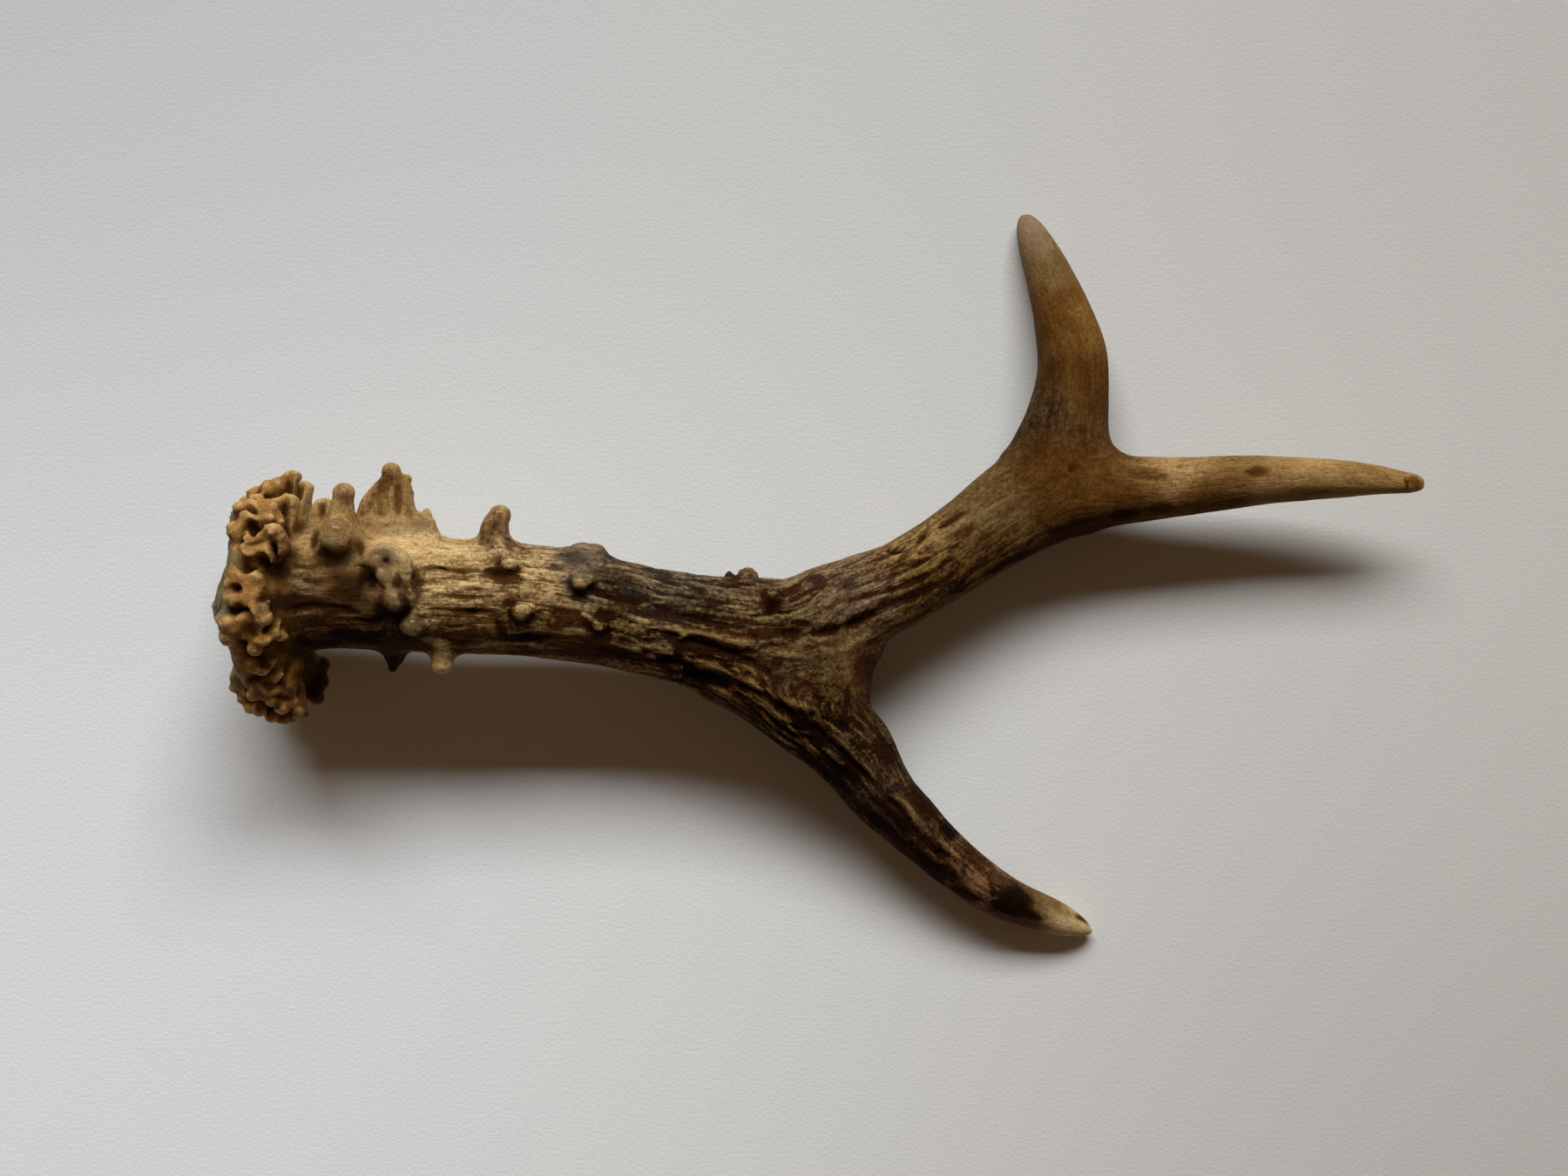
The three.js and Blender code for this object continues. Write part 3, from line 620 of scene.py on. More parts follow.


# single grooves and ridges of the upper side, followed one by one
strokes = [  # width mm, depth mm (a ridge is negative), strength of the paint, line x, y
    (1.2, 0.45, 1, [(-70.6, 4.6), (-69.6, 2.6), (-68.4, 0.8), (-66.4, -1.4)]),
    (0.9, 0.4, 0.9, [(-60.2, 4), (-59.8, 1.4), (-60.2, -1), (-59.4, -3.4)]),
    (1.2, 0.6, 1, [(-73, -5.6), (-69, -6), (-66, -5), (-65.2, -3.6)]),
    (0.8, 0.5, 0.9, [(-84, 3.6), (-79, 3.4), (-75, 4)]),
    (0.7, 0.4, 0.8, [(-83, -3.6), (-78, -3), (-73, -3.4), (-69, -4.4)]),
    (0.8, 0.6, 0.9, [(-59.5, 3.5), (-54.5, 3), (-49, 2), (-44.5, 1)]),
    (0.6, 0.35, 0.7, [(-59, -1), (-53, -1.5), (-46, -1.5)]),
    (0.7, 0.4, 0.8, [(-56.5, -4), (-49, -4), (-46, -4.5)]),
    (0.9, 0.5, 0.9, [(-45, -7.6), (-41, -8.4), (-37.5, -8.5)]),
    (0.8, 0.5, 0.9, [(-39.5, -3.6), (-36, -4.4), (-33, -4.4)]),
    (0.6, 0.4, 0.9, [(-32, 2), (-29, 1), (-26, 0.4)]),
    (1.2, 0.9, 0.95, [(-33, 0), (-30, -1), (-26, -2), (-20.5, -3.5), (-16, -5), (-11.5, -6), (-7.5, -7),
        (-3, -7.5), (3, -7.5), (9, -7), (14.5, -5), (19, -2.5)]),
    (0.6, 0.45, 0.8, [(-23, -0.5), (-19, -1), (-14.5, -1.5), (-7.5, -2.5)]),
    (0.8, 0.6, 0.85, [(-23, -6.5), (-18, -8), (-14, -9.5), (-8.5, -11.5), (-4.5, -13), (-0.5, -16)]),
    (1.1, 0.9, 0.95, [(-22.5, -11.5), (-16, -13.5), (-10.5, -15.5), (-4.5, -18), (0.5, -21), (6.5, -25),
        (12.5, -31), (18, -36), (23, -42), (29.5, -48)]),
    (0.9, 0.6, 0.9, [(0, -26), (4.5, -29.5), (9, -33.5), (12.5, -37.5), (16.5, -40.5), (21, -44.5),
        (25, -47.5), (28.5, -50.5)]),
    (0.8, 0.5, 0.8, [(15, 7), (19.5, 6.5), (22.5, 8), (25, 9.5), (28, 11.5), (32.5, 14)]),
    (0.7, 0.4, 0.7, [(12.5, 0.5), (17.5, 2), (22, 3.5), (24.5, 5), (28, 6.5)]),
    (0.7, 0.4, 0.7, [(9, -2.5), (14.5, -1), (20.5, 0.5), (26.5, 3)]),
    (1.2, 0.3, 0.7, [(15.5, -4.5), (19, -2.5), (23.5, -0.5), (27.5, 1)]),
    (2.4, 0, 0.18, [(37, 15), (41, 21), (44, 25.5), (45.5, 30.5), (46.5, 36.5), (46.5, 42)]),
    (0.8, 0.15, 0.75, [(43, 8.5), (50.5, 10.5), (58, 12.5), (65.5, 13.5)]),
    (0.9, 0.5, 0.9, [(10.5, -22.5), (12.5, -26), (15, -29)]),
    (0.8, 0.4, 0.8, [(-82, 1.6), (-76, 1.2), (-72, 1)]),
    (1.1, 0.5, 0.9, [(-82, -9), (-76, -9.2), (-70, -8.6), (-64, -8.8)]),
    (1, -0.4, -0.8, [(-26.5, -4.5), (-22.5, -6), (-18, -6.5), (-14.5, -7.5), (-10, -8.5), (-6, -10),
        (-2, -10.5), (2, -11), (7.5, -10.5), (12.5, -9), (16.5, -7)]),
    (0.9, -0.35, -0.7, [(-17.5, -11), (-14.5, -12), (-10, -14), (-6.5, -16), (-3, -17.5), (0, -19),
        (3, -20), (6.5, -21.5)]),
    (0.6, -0.25, -0.6, [(-7.5, -19), (-3, -20.5), (0, -22.5), (2, -24), (5, -25.5)]),
    (0.8, -0.3, -0.6, [(7.5, -22), (9, -25), (11, -27.5), (13.5, -30.5), (15.5, -33), (17, -35),
        (19.5, -36), (21.5, -38), (23, -40.5), (26, -42.5), (28.5, -45), (31.5, -47.5)]),
    # painted highlight: the pale paint of this small ridge stands in for a glossy streak
    (0.4, -0.25, -0.7, [(20, 5), (24.5, 6.5)]),
    (0.7, -0.25, -0.6, [(23.5, 8), (28, 10), (31, 12), (33.5, 13.5)]),
    (0.4, -0.3, -0.7, [(-23, -15), (-16.5, -16.5), (-10.5, -19.5), (-4.5, -23), (0, -26), (4.5, -29.5)]),
    (0.9, -0.3, -0.7, [(-56, 1), (-50, 0.4), (-46, 0)]),
    (0.6, 0.7, 0.6, [(-64.2, 18.4), (-64.4, 15), (-64.3, 11.4)]),
    (0.6, -0.4, -0.5, [(-65.5, 19), (-65.6, 15), (-65.4, 11)]),
    (0.5, 0.4, 0.4, [(-67.8, 17.4), (-67.4, 14), (-66.8, 10.4)]),
    (0.9, -0.3, -0.7, [(-58, 5.2), (-52, 4.8), (-50, 4.4)]),
    (0.9, -0.3, -0.6, [(-32, -8.6), (-27, -9.6), (-22, -10.4)]),
]


def alongLine(points, path):
    # distance to a line in plan, and how far along it lies, from 0 to its length
    path = smoothThrough(path, 6)
    nearest = np.full(len(points), 1e9)
    travel = np.zeros(len(points))
    walked = 0.0
    for a, b in zip(path, path[1:]):
        step = b - a
        length = np.hypot(*step)
        t = np.clip(((points - a) @ step) / length**2, 0, 1)
        away = np.hypot(*(points - a - t[:, None] * step).T)
        closer = away < nearest
        nearest[closer] = away[closer]
        travel[closer] = walked + t[closer] * length
        walked += length
    return nearest, travel, walked


def ovalReach(points, x, y, long, wide, turn):
    # in plan: 0 at the middle of a turned oval, 1 on its outline
    angle = math.radians(turn)
    east = points[:, 0] - x
    north = points[:, 1] - y
    u = (east * math.cos(angle) + north * math.sin(angle)) / long
    v = (north * math.cos(angle) - east * math.sin(angle)) / wide
    return np.hypot(u, v)


fadeOut = 3     # mm over which a stroke starts and ends
wobble = np.stack([smoothNoise(points, 3.5, 11), smoothNoise(points, 3.5, 12)], 1) * 0.35
inPlan = points[:, :2] + wobble
strokeDepth = np.zeros(len(points))
strokePaint = np.zeros(len(points))
thickness = 1 + 0.35 * smoothNoise(points, 5, 13)
broken = 0.55 + 0.45 * ramp(smoothNoise(points, 3.2, 14) + 0.5 * smoothNoise(points, 1.4, 15), -0.5, 0.15)
for width, depth, paint, path in strokes:
    low = np.min(path, axis=0) - 4
    high = np.max(path, axis=0) + 4
    near = np.flatnonzero(((inPlan > low) & (inPlan < high)).all(1) & (upward > 0))
    away, travel, length = alongLine(inPlan[near], path)
    body = np.exp(-(away / (0.8 * width * thickness[near]))**2)
    body = body * ramp(travel, 0, fadeOut) * ramp(length - travel, 0, fadeOut)
    body *= upward[near] * broken[near]
    strokeDepth[near] += body * depth
    strokePaint[near] += body**2 * paint


relief = {
    "lump": 0.3,            # mm, slow swelling
    "grooveSize": 1.5,      # mm from one groove to the next
    "grooveLength": 15,
    "fineLength": 6,
    "fineSize": 0.85,
    "fineDepth": 0.65,      # as a share of the grooves' depth
    "rope": 0.5,            # mm, long swellings beside each other
    "ropeLength": 13,
    "ropeSize": 3.4,
    "grain": 0.05,
    "burrLump": 0.3,        # mm
    "burrGrain": 0.1,
    "lobe": 0.5,            # how much the burr's rims stand out and its creases sink
    "burrStart": 80.5,      # mm from the origin towards -x: its relief and paint begin
    "burrFull": 83,
    "normalTurns": 4,       # how far the normals are evened out
}
normals = relax(movePoints(skin, points), edges, relief["normalTurns"])
normals /= np.linalg.norm(normals, axis=1)[:, None]
drift = np.stack([np.zeros(len(points)), smoothNoise(points, 9, 22), smoothNoise(points, 9, 23)], 1) * 0.9
stretched = (fibre + drift) / (relief["grooveLength"], relief["grooveSize"], relief["grooveSize"])
folds = smoothNoise(stretched, 1, 31)
valley = 1 - ramp(np.abs(folds), 0.03, 0.3)
fineStretched = (fibre + drift) / (relief["fineLength"], relief["fineSize"], relief["fineSize"])
fineFolds = smoothNoise(fineStretched, 1, 32)
fineValley = 1 - ramp(np.abs(fineFolds), 0.02, 0.4)
onBurr = ramp(-points[:, 0], relief["burrStart"], relief["burrFull"])
onTrunk = 1 - ramp(closeness.min(1), 1.12, 1.3)
grooved = 1.1 * grooveDepth * (0.35 + 0.65 * onTrunk) * ramp(smoothNoise(points, 12, 33), -0.9, 0.3)
height = -(valley + relief["fineDepth"] * fineValley) * grooved
ropes = smoothNoise((fibre + drift) / (relief["ropeLength"], relief["ropeSize"], relief["ropeSize"]), 1, 34)
height += relief["rope"] * ropes * np.clip(grooveDepth * 3, 0, 1) * onTrunk
height += relief["lump"] * roughNoise(points, 12, 41) * (1 - onBurr) * np.clip(grooveDepth * 4 + 0.15, 0, 1)
height += relief["grain"] * roughNoise(points, 1.3, 45, 2) * np.clip(grooveDepth * 3 + 0.1, 0, 1)
burrHeight = relief["burrLump"] * smoothNoise(points, 4.5, 47)
height += (burrHeight + relief["burrGrain"] * roughNoise(points, 1.5, 48, 2)) * onBurr
height -= strokeDepth * (1 - onBurr)
lobes = ((points - relax(points, edges, 10)) * normals).sum(1)
height += relief["lobe"] * np.clip(lobes, -0.7, 0.5) * onBurr
points = points + normals * height[:, None]

seal = {  # the scar at the end of the burr, where the antler was shed
    "line": [(8.6, -92.4), (5.1, -94.4), (1.9, -95.6), (-1.5, -96.7), (-3.4, -97), (-6.9, -96.2),
             (-10.7, -95.2)],     # y and x of its outline from above, mm
    "crownZ": 19,       # height of the crown of the dome
    "slope": 0.12,
    "dome": 0.026,
    "depth": 1.2,       # mm of the end that belong to the scar
    "radius": 11.5,
    "middleY": -1.5,
    "roughness": 0.35,  # mm, of the rim round the scar
}
sealX = np.interp(points[:, 1], *np.array(sorted(seal["line"])).T)
fromCrown = points[:, 2] - seal["crownZ"]
sealX += np.abs(fromCrown) * seal["slope"] + fromCrown**2 * seal["dome"]
sealRough = 0.5 + 0.5 * roughNoise(points * (1, 0.4, 1), 1.3, 51) + 0.35 * roughNoise(points, 4, 52)
fromMiddle = np.hypot(points[:, 1] - seal["middleY"], points[:, 2] - trunk["axisZ"])
inSeal = ramp(sealX + seal["depth"] - points[:, 0], 0, 0.8) * (fromMiddle < seal["radius"])
points[:, 0] = np.where(inSeal > 0, np.maximum(points[:, 0], sealX + sealRough), points[:, 0])
fromAxis = np.hypot(points[:, 1] - trunk["axisY"], points[:, 2] - trunk["axisZ"])
base = ramp(-points[:, 0], 89.2, 91) * (1 - ramp(fromAxis, 12, 14))
points += normals * (base * seal["roughness"] * roughNoise(points * (1, 0.6, 1), 1.5, 53))[:, None]
points[:, 2] = np.maximum(points[:, 2], 0)
normals = movePoints(skin, points)
print("relief cut: grooves, ridges and pearls")


weatheringAndShade = {  # how much each pattern darkens the bone
    "streak": 0.2,          # these three only where it is fibrous
    "fineStreak": 0.12,
    "fibreFleck": 0.22,
    "blotch": 0.16,
    "patch": 0.18,
    "fleck": 0.14,
    "ridge": 0.3,           # ridges and edges are worn pale
    "edge": 0.15,
    # hollows: partly dirt, partly painted shade
    "hollow": 0.55,
    "groove": 0.3,          # at most
}
smoothed = relax(points, edges, 12)
broad = ((points - smoothed) * normals).sum(1)
deepness = ((points - relax(smoothed, edges, 50)) * normals).sum(1)
sharp = relax(((points - neighbourMean(points, edges)) * normals).sum(1), edges, 2)
ridge = np.clip(broad / 0.35, -1, 1)
edgeWear = np.clip(sharp / 0.05, -1, 1)
streak = smoothNoise((fibre + drift) / (20, 1.3, 1.3), 1, 61)
fineStreak = smoothNoise((fibre + drift) / (9, 0.55, 0.55), 1, 62)
blotch = roughNoise(points, 6, 63)
fibrous = np.clip(grooveDepth * 5 + 0.15, 0, 1)
patch = roughNoise(points, 2.4, 67)
fleck = roughNoise((fibre + drift) / (2.4, 1, 1), 1.1, 68, 2)
inFibres = (weatheringAndShade["streak"] * streak + weatheringAndShade["fineStreak"] * fineStreak
            + weatheringAndShade["fibreFleck"] * fleck)
dark = darkShare + fibrous * inFibres + weatheringAndShade["blotch"] * blotch
dark += weatheringAndShade["patch"] * patch + weatheringAndShade["fleck"] * fleck
soaked = np.clip(grooveDepth * 1.2, 0, weatheringAndShade["groove"])
# hollows are painted darker: partly dirt, partly painted shade where less light reaches them
dark += (valley * soaked - weatheringAndShade["ridge"] * np.maximum(ridge, 0)
         + weatheringAndShade["hollow"] * np.maximum(-ridge, 0))
dark -= weatheringAndShade["edge"] * edgeWear
dark += fineValley * soaked
pale = ridgeColour.copy()
deep = grooveColour.copy()


def blend(colour, cover, strength=1.0):
    # lays a colour over both the pale and the deep parts
    cover = (cover * strength)[:, None]
    pale[:] = pale * (1 - cover) + linearColour(bone[colour]) * cover
    deep[:] = deep * (1 - cover) + linearColour(bone[colour]) * 0.7 * cover


def stainAndShade(colour, cover):
    # soaks the deep parts through and the pale parts a little, so that its edge follows the fibres
    soaked = cover[:, None]
    deep[:] = deep * (1 - soaked) + linearColour(bone[colour]) * soaked
    pale[:] = pale * (1 - 0.55 * soaked) + linearColour(bone[colour]) * 0.55 * soaked
    dark[:] = dark + 0.9 * cover


ink = np.clip(strokePaint, 0, 1)
paleRidgeAndHighlight = np.clip(-strokePaint, 0, 1)
stainAndShade("dark", ink)
# ridges followed by strokes are painted paler, the one at (20, 5) as a painted highlight
dark -= paleRidgeAndHighlight * 0.4
pale = pale * (1 - 0.25 * paleRidgeAndHighlight[:, None]) + linearColour(bone["straw"]) * 0.25 * paleRidgeAndHighlight[:, None]
# the burr's gaps between fins, deep hollows and creases are painted darker: partly dirt, partly painted
# shade
betweenFins = ramp(-deepness + 0.25 * blotch + 0.15 * patch, -0.2, 0.45)
gap = onBurr * betweenFins
burrPaint = [  # laid on in this order: colour, strength, where
    ("honey", 0.6, ramp(1.5 - deepness, 0, 1.2)),                         # all of the outside
    ("ochre", 0.5, 1 - ramp(edgeWear + 0.3 * patch, 0, 0.6)),             # flanks of the folds
    ("brown", 0.85, betweenFins),
    ("plum", 0.9, ramp(-deepness + 0.2 * patch, 0.4, 0.9)),               # deep inside
    ("dark", 0.88, ramp(-ridge + 0.15 * patch, 0.03, 0.5)),               # creases
    ("straw", 0.6, ramp(edgeWear, 0.25, 1) * (1 - gap)),                  # worn rims
    ("rust", 0.4, ramp(roughNoise(points, 3.4, 64), 0.1, 0.5) * ramp(edgeWear, -0.4, 0.4)),
]
for colour, strength, cover in burrPaint:
    blend(colour, onBurr * cover, strength)
# more painted shade, partly dirt, in the gaps between the fins; worn rims a little paler
dark += onBurr * (0.4 * gap - 0.25 * np.clip(edgeWear, 0, 1))

stainAndShadePatches = {  # of each colour: x, y, half length, half width, turn in degrees, strength
    "khaki": [(-90, 4.9, 2.4, 1.5, 0, 0.9), (-91.6, -4.4, 1.4, 0.9, 0, 0.8),
        (46.6, -54.6, 2.1, 0.8, -28, 0.7), (37.7, -50.8, 2.1, 0.8, -30, 0.5)],
    "greyTan": [(-61.3, 11.3, 1.5, 1.3, 0, 0.5)],
    "ochre": [(-73.9, 1, 3.8, 2.7, 0, 0.45)],
    "umber": [(-70.2, 12.4, 0.6, 0.4, 20, 0.6), (-68.4, 15.4, 0.5, 0.7, 0, 0.6),
        (-67.6, 12.6, 0.7, 0.4, 0, 0.5), (-69.3, 10.6, 0.5, 0.4, 0, 0.6),
        (-66.6, 10.4, 0.8, 0.4, 10, 0.5), (-62.6, 12.4, 0.5, 1.2, 10, 0.6),
        (-68.9, 13.8, 0.4, 0.5, 0, 0.7), (-67.2, 16.8, 0.9, 0.6, 30, 0.5),
        (-66.9, 18.1, 1.3, 2.2, -10, 0.55), (-81.3, 4.6, 3.2, 0.9, 5, 0.6),
        (-57.7, 3.5, 2.4, 0.4, 0, 0.8), (-84, 0.4, 3.8, 1, -5, 0.5), (-79.5, -5.5, 5.9, 1, -4, 0.5),
        (-64.4, 14.7, 0.7, 2.1, 0, 0.5), (-65.5, -2.2, 1.8, 1.3, 0, 0.4), (49, -56.4, 3.4, 0.9, -32, 0.6),
        (108.1, 18, 0.9, 0.9, 0, 0.8), (-64.5, 15.1, 0.4, 2.9, 4, 0.6), (-76, 5, 2, 1.3, 0, 0.5),
        (-35, -9.2, 7.3, 1.7, -8, 0.6), (-48.4, 11, 1, 2.3, -12, 0.7), (107.4, 18.4, 1, 0.7, 0, 0.7),
        (-49.2, -5.4, 1.7, 0.6, 0, 0.6), (-30.8, -9.2, 2.1, 0.6, -10, 0.6),
        (30.4, 12.6, 1.5, 0.3, 30, 0.6), (38.6, 13.4, 1.8, 0.3, 38, 0.6)],
    "rust": [(-81, -14.7, 2.1, 3.2, 0, 0.3), (-89.4, 12.5, 1.3, 0.9, 20, 0.5)],
    "resin": [(90.2, 16.5, 6, 0.6, 2, 0.4), (-85.8, 10.7, 1.7, 0.7, -10, 0.75),
        (50.7, 9.4, 7.5, 0.9, 18, 0.6)],
    # the first four brown patches: painted shade on the burr's lower side
    "brown": [(-87.4, -17.2, 1.4, 0.6, -30, 0.6), (-84.8, -19.3, 1, 1, 0, 0.6),
        (-89.6, -18.6, 1, 0.7, 0, 0.6), (-85, -13, 1.6, 0.6, -20, 0.6), (-86.6, -4.4, 2.4, 0.5, 0, 0.6),
        (-87.6, 4.6, 2.4, 0.6, 5, 0.6), (-84, 8, 1.6, 0.6, 10, 0.5), (8.5, -9, 2, 0.9, 10, 0.5),
        (4, -16.5, 2, 0.8, -30, 0.5), (30, 9.5, 2.4, 0.7, 30, 0.4), (-46.8, 1.5, 3.5, 1.3, -8, 0.8),
        (-36.5, -4.7, 2.9, 1.2, -10, 0.8), (-53.8, -8.1, 3.2, 1.3, 0, 0.55),
        (-7.4, -7.9, 5.3, 0.6, -10, 0.6), (-14.8, -7, 3, 0.7, -15, 0.5), (-62.6, -9.6, 4.7, 1, -3, 0.85),
        (-72.5, 14.7, 0.9, 1.8, 0, 0.5), (-86.2, -6.6, 2.1, 1.2, 0, 0.5), (-50.8, 10, 0.7, 2.1, 0, 0.5),
        (-3, -7.1, 2.4, 1, -5, 0.85), (27.1, 0.8, 3.8, 0.6, 10, 0.7), (13.8, -13.4, 1.9, 2.5, 0, 0.6),
        (15, -9, 1.8, 0.8, 30, 0.5), (36, -51.7, 0.5, 1.7, 10, 0.7), (51, 27.2, 0.9, 0.8, 0, 0.5),
        (64.9, 13.7, 2, 0.9, 5, 0.6), (62.4, 19.2, 3, 1.1, -10, 0.5), (81, 19.7, 2.1, 0.9, 0, 0.8),
        (33.3, -46.9, 3.3, 1.2, -42, 0.5), (-50.3, 7.7, 1.2, 0.7, 0, 0.7),
        (-6.6, -5.4, 2.3, 0.4, -4, 0.7), (-33.6, -5.4, 1.3, 0.4, -15, 0.7),
        (-52.9, -3.6, 2, 0.4, 0, 0.55), (-49.3, -7.7, 1, 0.6, 0, 0.6), (-24.3, -11.8, 2.4, 0.6, -14, 0.7),
        (-2.4, -8.8, 1.2, 0.6, -25, 0.6), (0.7, -11.8, 1.3, 0.4, -20, 0.6),
        (5.2, -9.6, 1.6, 0.4, 12, 0.55), (12.6, -4.4, 1.8, 0.4, 20, 0.6), (21.5, 1, 1.8, 0.4, 30, 0.55),
        (9.6, -17.1, 1.2, 0.4, -40, 0.6), (16.5, -28, 1.3, 0.4, -52, 0.6),
        (34.1, 8.5, 1.9, 0.4, 32, 0.5)],
    "grey": [(-45.7, 7.8, 1.3, 0.9, 0, 0.6)],
    "slate": [(-35.4, 5.3, 2.7, 1.2, -5, 0.7), (-25.2, -0.4, 2.5, 0.9, -15, 0.8),
        (-20.2, 1.9, 1.5, 0.9, -10, 0.75), (5.6, 1.5, 1.5, 0.6, 8, 0.8), (10.5, 1, 2.1, 0.9, 10, 0.7),
        (19.3, -34.2, 1.1, 0.8, 0, 0.85), (-43.7, 8, 1.5, 0.6, -8, 0.6), (-10.3, 2.9, 3.2, 0.7, -3, 0.7),
        (-29, 5.1, 2, 1.2, -25, 0.5), (-37.9, 3.4, 1.3, 0.4, -10, 0.7), (-35.5, 1, 1.2, 0.4, -5, 0.6),
        (-26.8, 1, 1.3, 0.6, -10, 0.7), (-22.3, 2.8, 1.5, 0.7, -8, 0.8)],
    "plum": [(-81.6, 5.6, 1.4, 1, 20, 0.7), (-81.8, -10.2, 1.6, 1, -20, 0.6),
        (-80.8, 10.2, 0.8, 1.2, 0, 0.5), (-26.5, -8.8, 1.6, 0.8, -15, 0.5), (-38, -6.6, 1.4, 0.7, 0, 0.5),
        (-12, -2.6, 1.6, 0.7, -8, 0.5), (-57.5, -7.6, 1.8, 0.8, 0, 0.5), (-21, -5.2, 1.6, 0.6, -10, 0.5),
        (-82.5, -2.2, 3.5, 1.3, -5, 0.9), (-66.7, 4.1, 2.1, 1.2, 0, 0.55),
        (-77.8, 7.8, 0.9, 1.9, 0, 0.85), (-85.3, -16.2, 1, 1.3, 0, 0.85), (-1, -12.3, 1, 1.3, -20, 0.9),
        (-0.9, -15.3, 1.2, 1, 20, 0.85), (10.7, -18.7, 0.6, 2.2, 0, 0.85),
        # (-78.8, -2.2): partly a stain, partly painted shadow of the big pearl
        (21.1, -45.2, 3.6, 0.9, -42, 0.7), (-78.8, -2.2, 4.3, 1.2, -6, 0.8),
        (-82.7, 2.6, 1.6, 1.3, 0, 0.85), (-66.2, -3.6, 1.7, 1.3, -20, 0.7),
        (38, -50.9, 2.4, 0.8, -38, 0.6), (-83.4, -15.9, 0.9, 1.3, 0, 0.9),
        (-52.2, -7.2, 1.7, 0.6, -8, 0.6)],
    # the first six dark patches: painted shade on the burr's lower side
    "dark": [(-80.8, -14.3, 1.1, 0.8, 0, 0.7), (-91, -17, 0.9, 0.7, 0, 0.6),
        (-86.6, -20.1, 1.3, 0.6, -20, 0.7), (-83, -21, 1.2, 0.6, 10, 0.7),
        (-88.8, -15.2, 0.9, 0.6, 30, 0.6), (-82.4, -17.5, 0.7, 1.3, 0, 0.7),
        (-45.6, -8.3, 3.4, 0.8, -4, 0.7), (-46.4, 2.6, 2.4, 0.8, -4, 0.6), (-48.2, 2.7, 1.9, 0.6, 0, 0.9),
        (-45.1, -2.4, 1.6, 0.9, 0, 0.85), (-29.6, -4.7, 2.2, 0.8, -12, 0.7),
        (-7.4, 0.6, 2.1, 0.4, 0, 0.7), (-17.7, -11, 0.7, 2.1, 0, 0.85), (-23.4, -3.7, 5.9, 0.6, -10, 0.5),
        # (-75.9, -3.2): partly a stain, partly painted shadow of the big pearl
        (-84.3, 3.4, 1.6, 1.3, 0, 0.75), (-75.9, -3.2, 4.4, 0.7, -8, 0.8),
        (-62.5, -1.2, 0.9, 2.9, 15, 0.8), (-75.7, 6, 2.2, 0.6, 0, 0.75), (-77.3, 13, 0.7, 1.3, 0, 0.7),
        (-78.8, -9.3, 3.2, 0.7, -5, 0.7), (4, -5.9, 3.3, 0.4, -3, 0.8), (21.5, 4.2, 3.3, 0.6, 14, 0.7),
        (21.8, -2, 1.5, 0.5, 20, 0.7), (-3, -25.2, 4.5, 0.7, -38, 0.8), (24.3, 6.8, 1.8, 0.6, 20, 0.5),
        (17.5, -27.7, 2.4, 1.5, -50, 0.7), (24.4, -37.2, 2.4, 1.6, -50, 0.7),
        (25.6, -49.5, 2.7, 1.1, -40, 0.85), (52.4, -58.4, 1.8, 0.5, -38, 0.85),
        (31.1, -52.9, 2.7, 0.8, -32, 0.7), (49.4, 20.6, 0.9, 0.6, 0, 0.45), (58, 12.6, 2.3, 0.8, 6, 0.85),
        # (-71.9, 0.4): partly a stain, partly painted shadow of the big pearl and the hook
        (39.8, 5.1, 5.1, 0.6, 28, 0.8), (49.9, 9, 4.8, 0.6, 14, 0.7), (-71.9, 0.4, 3.5, 2.4, 0, 0.85),
        (-70.1, 6.2, 0.6, 2, 25, 0.75), (-50.3, -10.6, 11, 0.6, -2, 0.4),
        (-29.3, -10.7, 6.6, 1.3, -12, 0.6), (-14.7, -10.3, 5.9, 1, -22, 0.7),
        (24.4, -36.8, 3.6, 1.4, -48, 0.8), (-85.8, 7.6, 2, 0.4, 5, 0.7), (-63.7, 1.4, 0.6, 1.4, -15, 0.8),
        (-60.8, 1, 0.7, 2.4, -12, 0.8), (106.3, 17.8, 0.3, 1, 10, 0.8), (-30.6, 2.9, 1.7, 0.4, -12, 0.6),
        (-18.7, 1, 1.8, 0.4, -10, 0.7), (-14.6, -0.1, 2, 0.4, -6, 0.6), (-25.1, -1.6, 2.9, 0.4, -10, 0.7),
        (-18.9, -3.2, 2.6, 0.4, -12, 0.8), (-12.4, -4.5, 3.2, 0.4, -9, 0.75),
        (-37.6, -3.6, 0.7, 0.3, 0, 0.7), (-30.2, -4.1, 1, 0.6, -10, 0.6),
        (-22.4, -6.6, 1.5, 0.4, -20, 0.7), (-53.9, -9.2, 1.5, 0.4, 0, 0.6),
        (-44, -9.8, 2.6, 0.4, -2, 0.7), (-36.8, -10.8, 3.2, 0.4, -6, 0.7),
        (-19.2, -13.8, 2.7, 0.4, -20, 0.7), (-5.9, -10.3, 1.2, 0.4, -30, 0.7),
        (7.4, -5.9, 1.9, 0.4, 8, 0.6), (2.2, -5.4, 1.5, 0.3, 4, 0.6), (17, -2.2, 1.9, 0.4, 28, 0.6),
        (6, -18.6, 1.3, 0.4, -40, 0.7), (12.7, -23.1, 1.5, 0.4, -50, 0.6), (28.2, 4.5, 1.8, 0.4, 32, 0.6),
        (23.6, 9.3, 1.3, 0.3, 25, 0.6)],
    "black": [(-47.1, -6.2, 0.9, 2.1, 15, 0.8), (-42.1, -8.4, 4.1, 0.6, -4, 0.8),
        (-34.2, -1.6, 1.6, 0.7, 0, 0.85), (-16.2, -1.3, 1.2, 0.4, 0, 0.9),
        (-2.2, -2.8, 1, 1.8, -15, 0.85), (-20.5, -12.3, 2.5, 0.6, -5, 0.85),
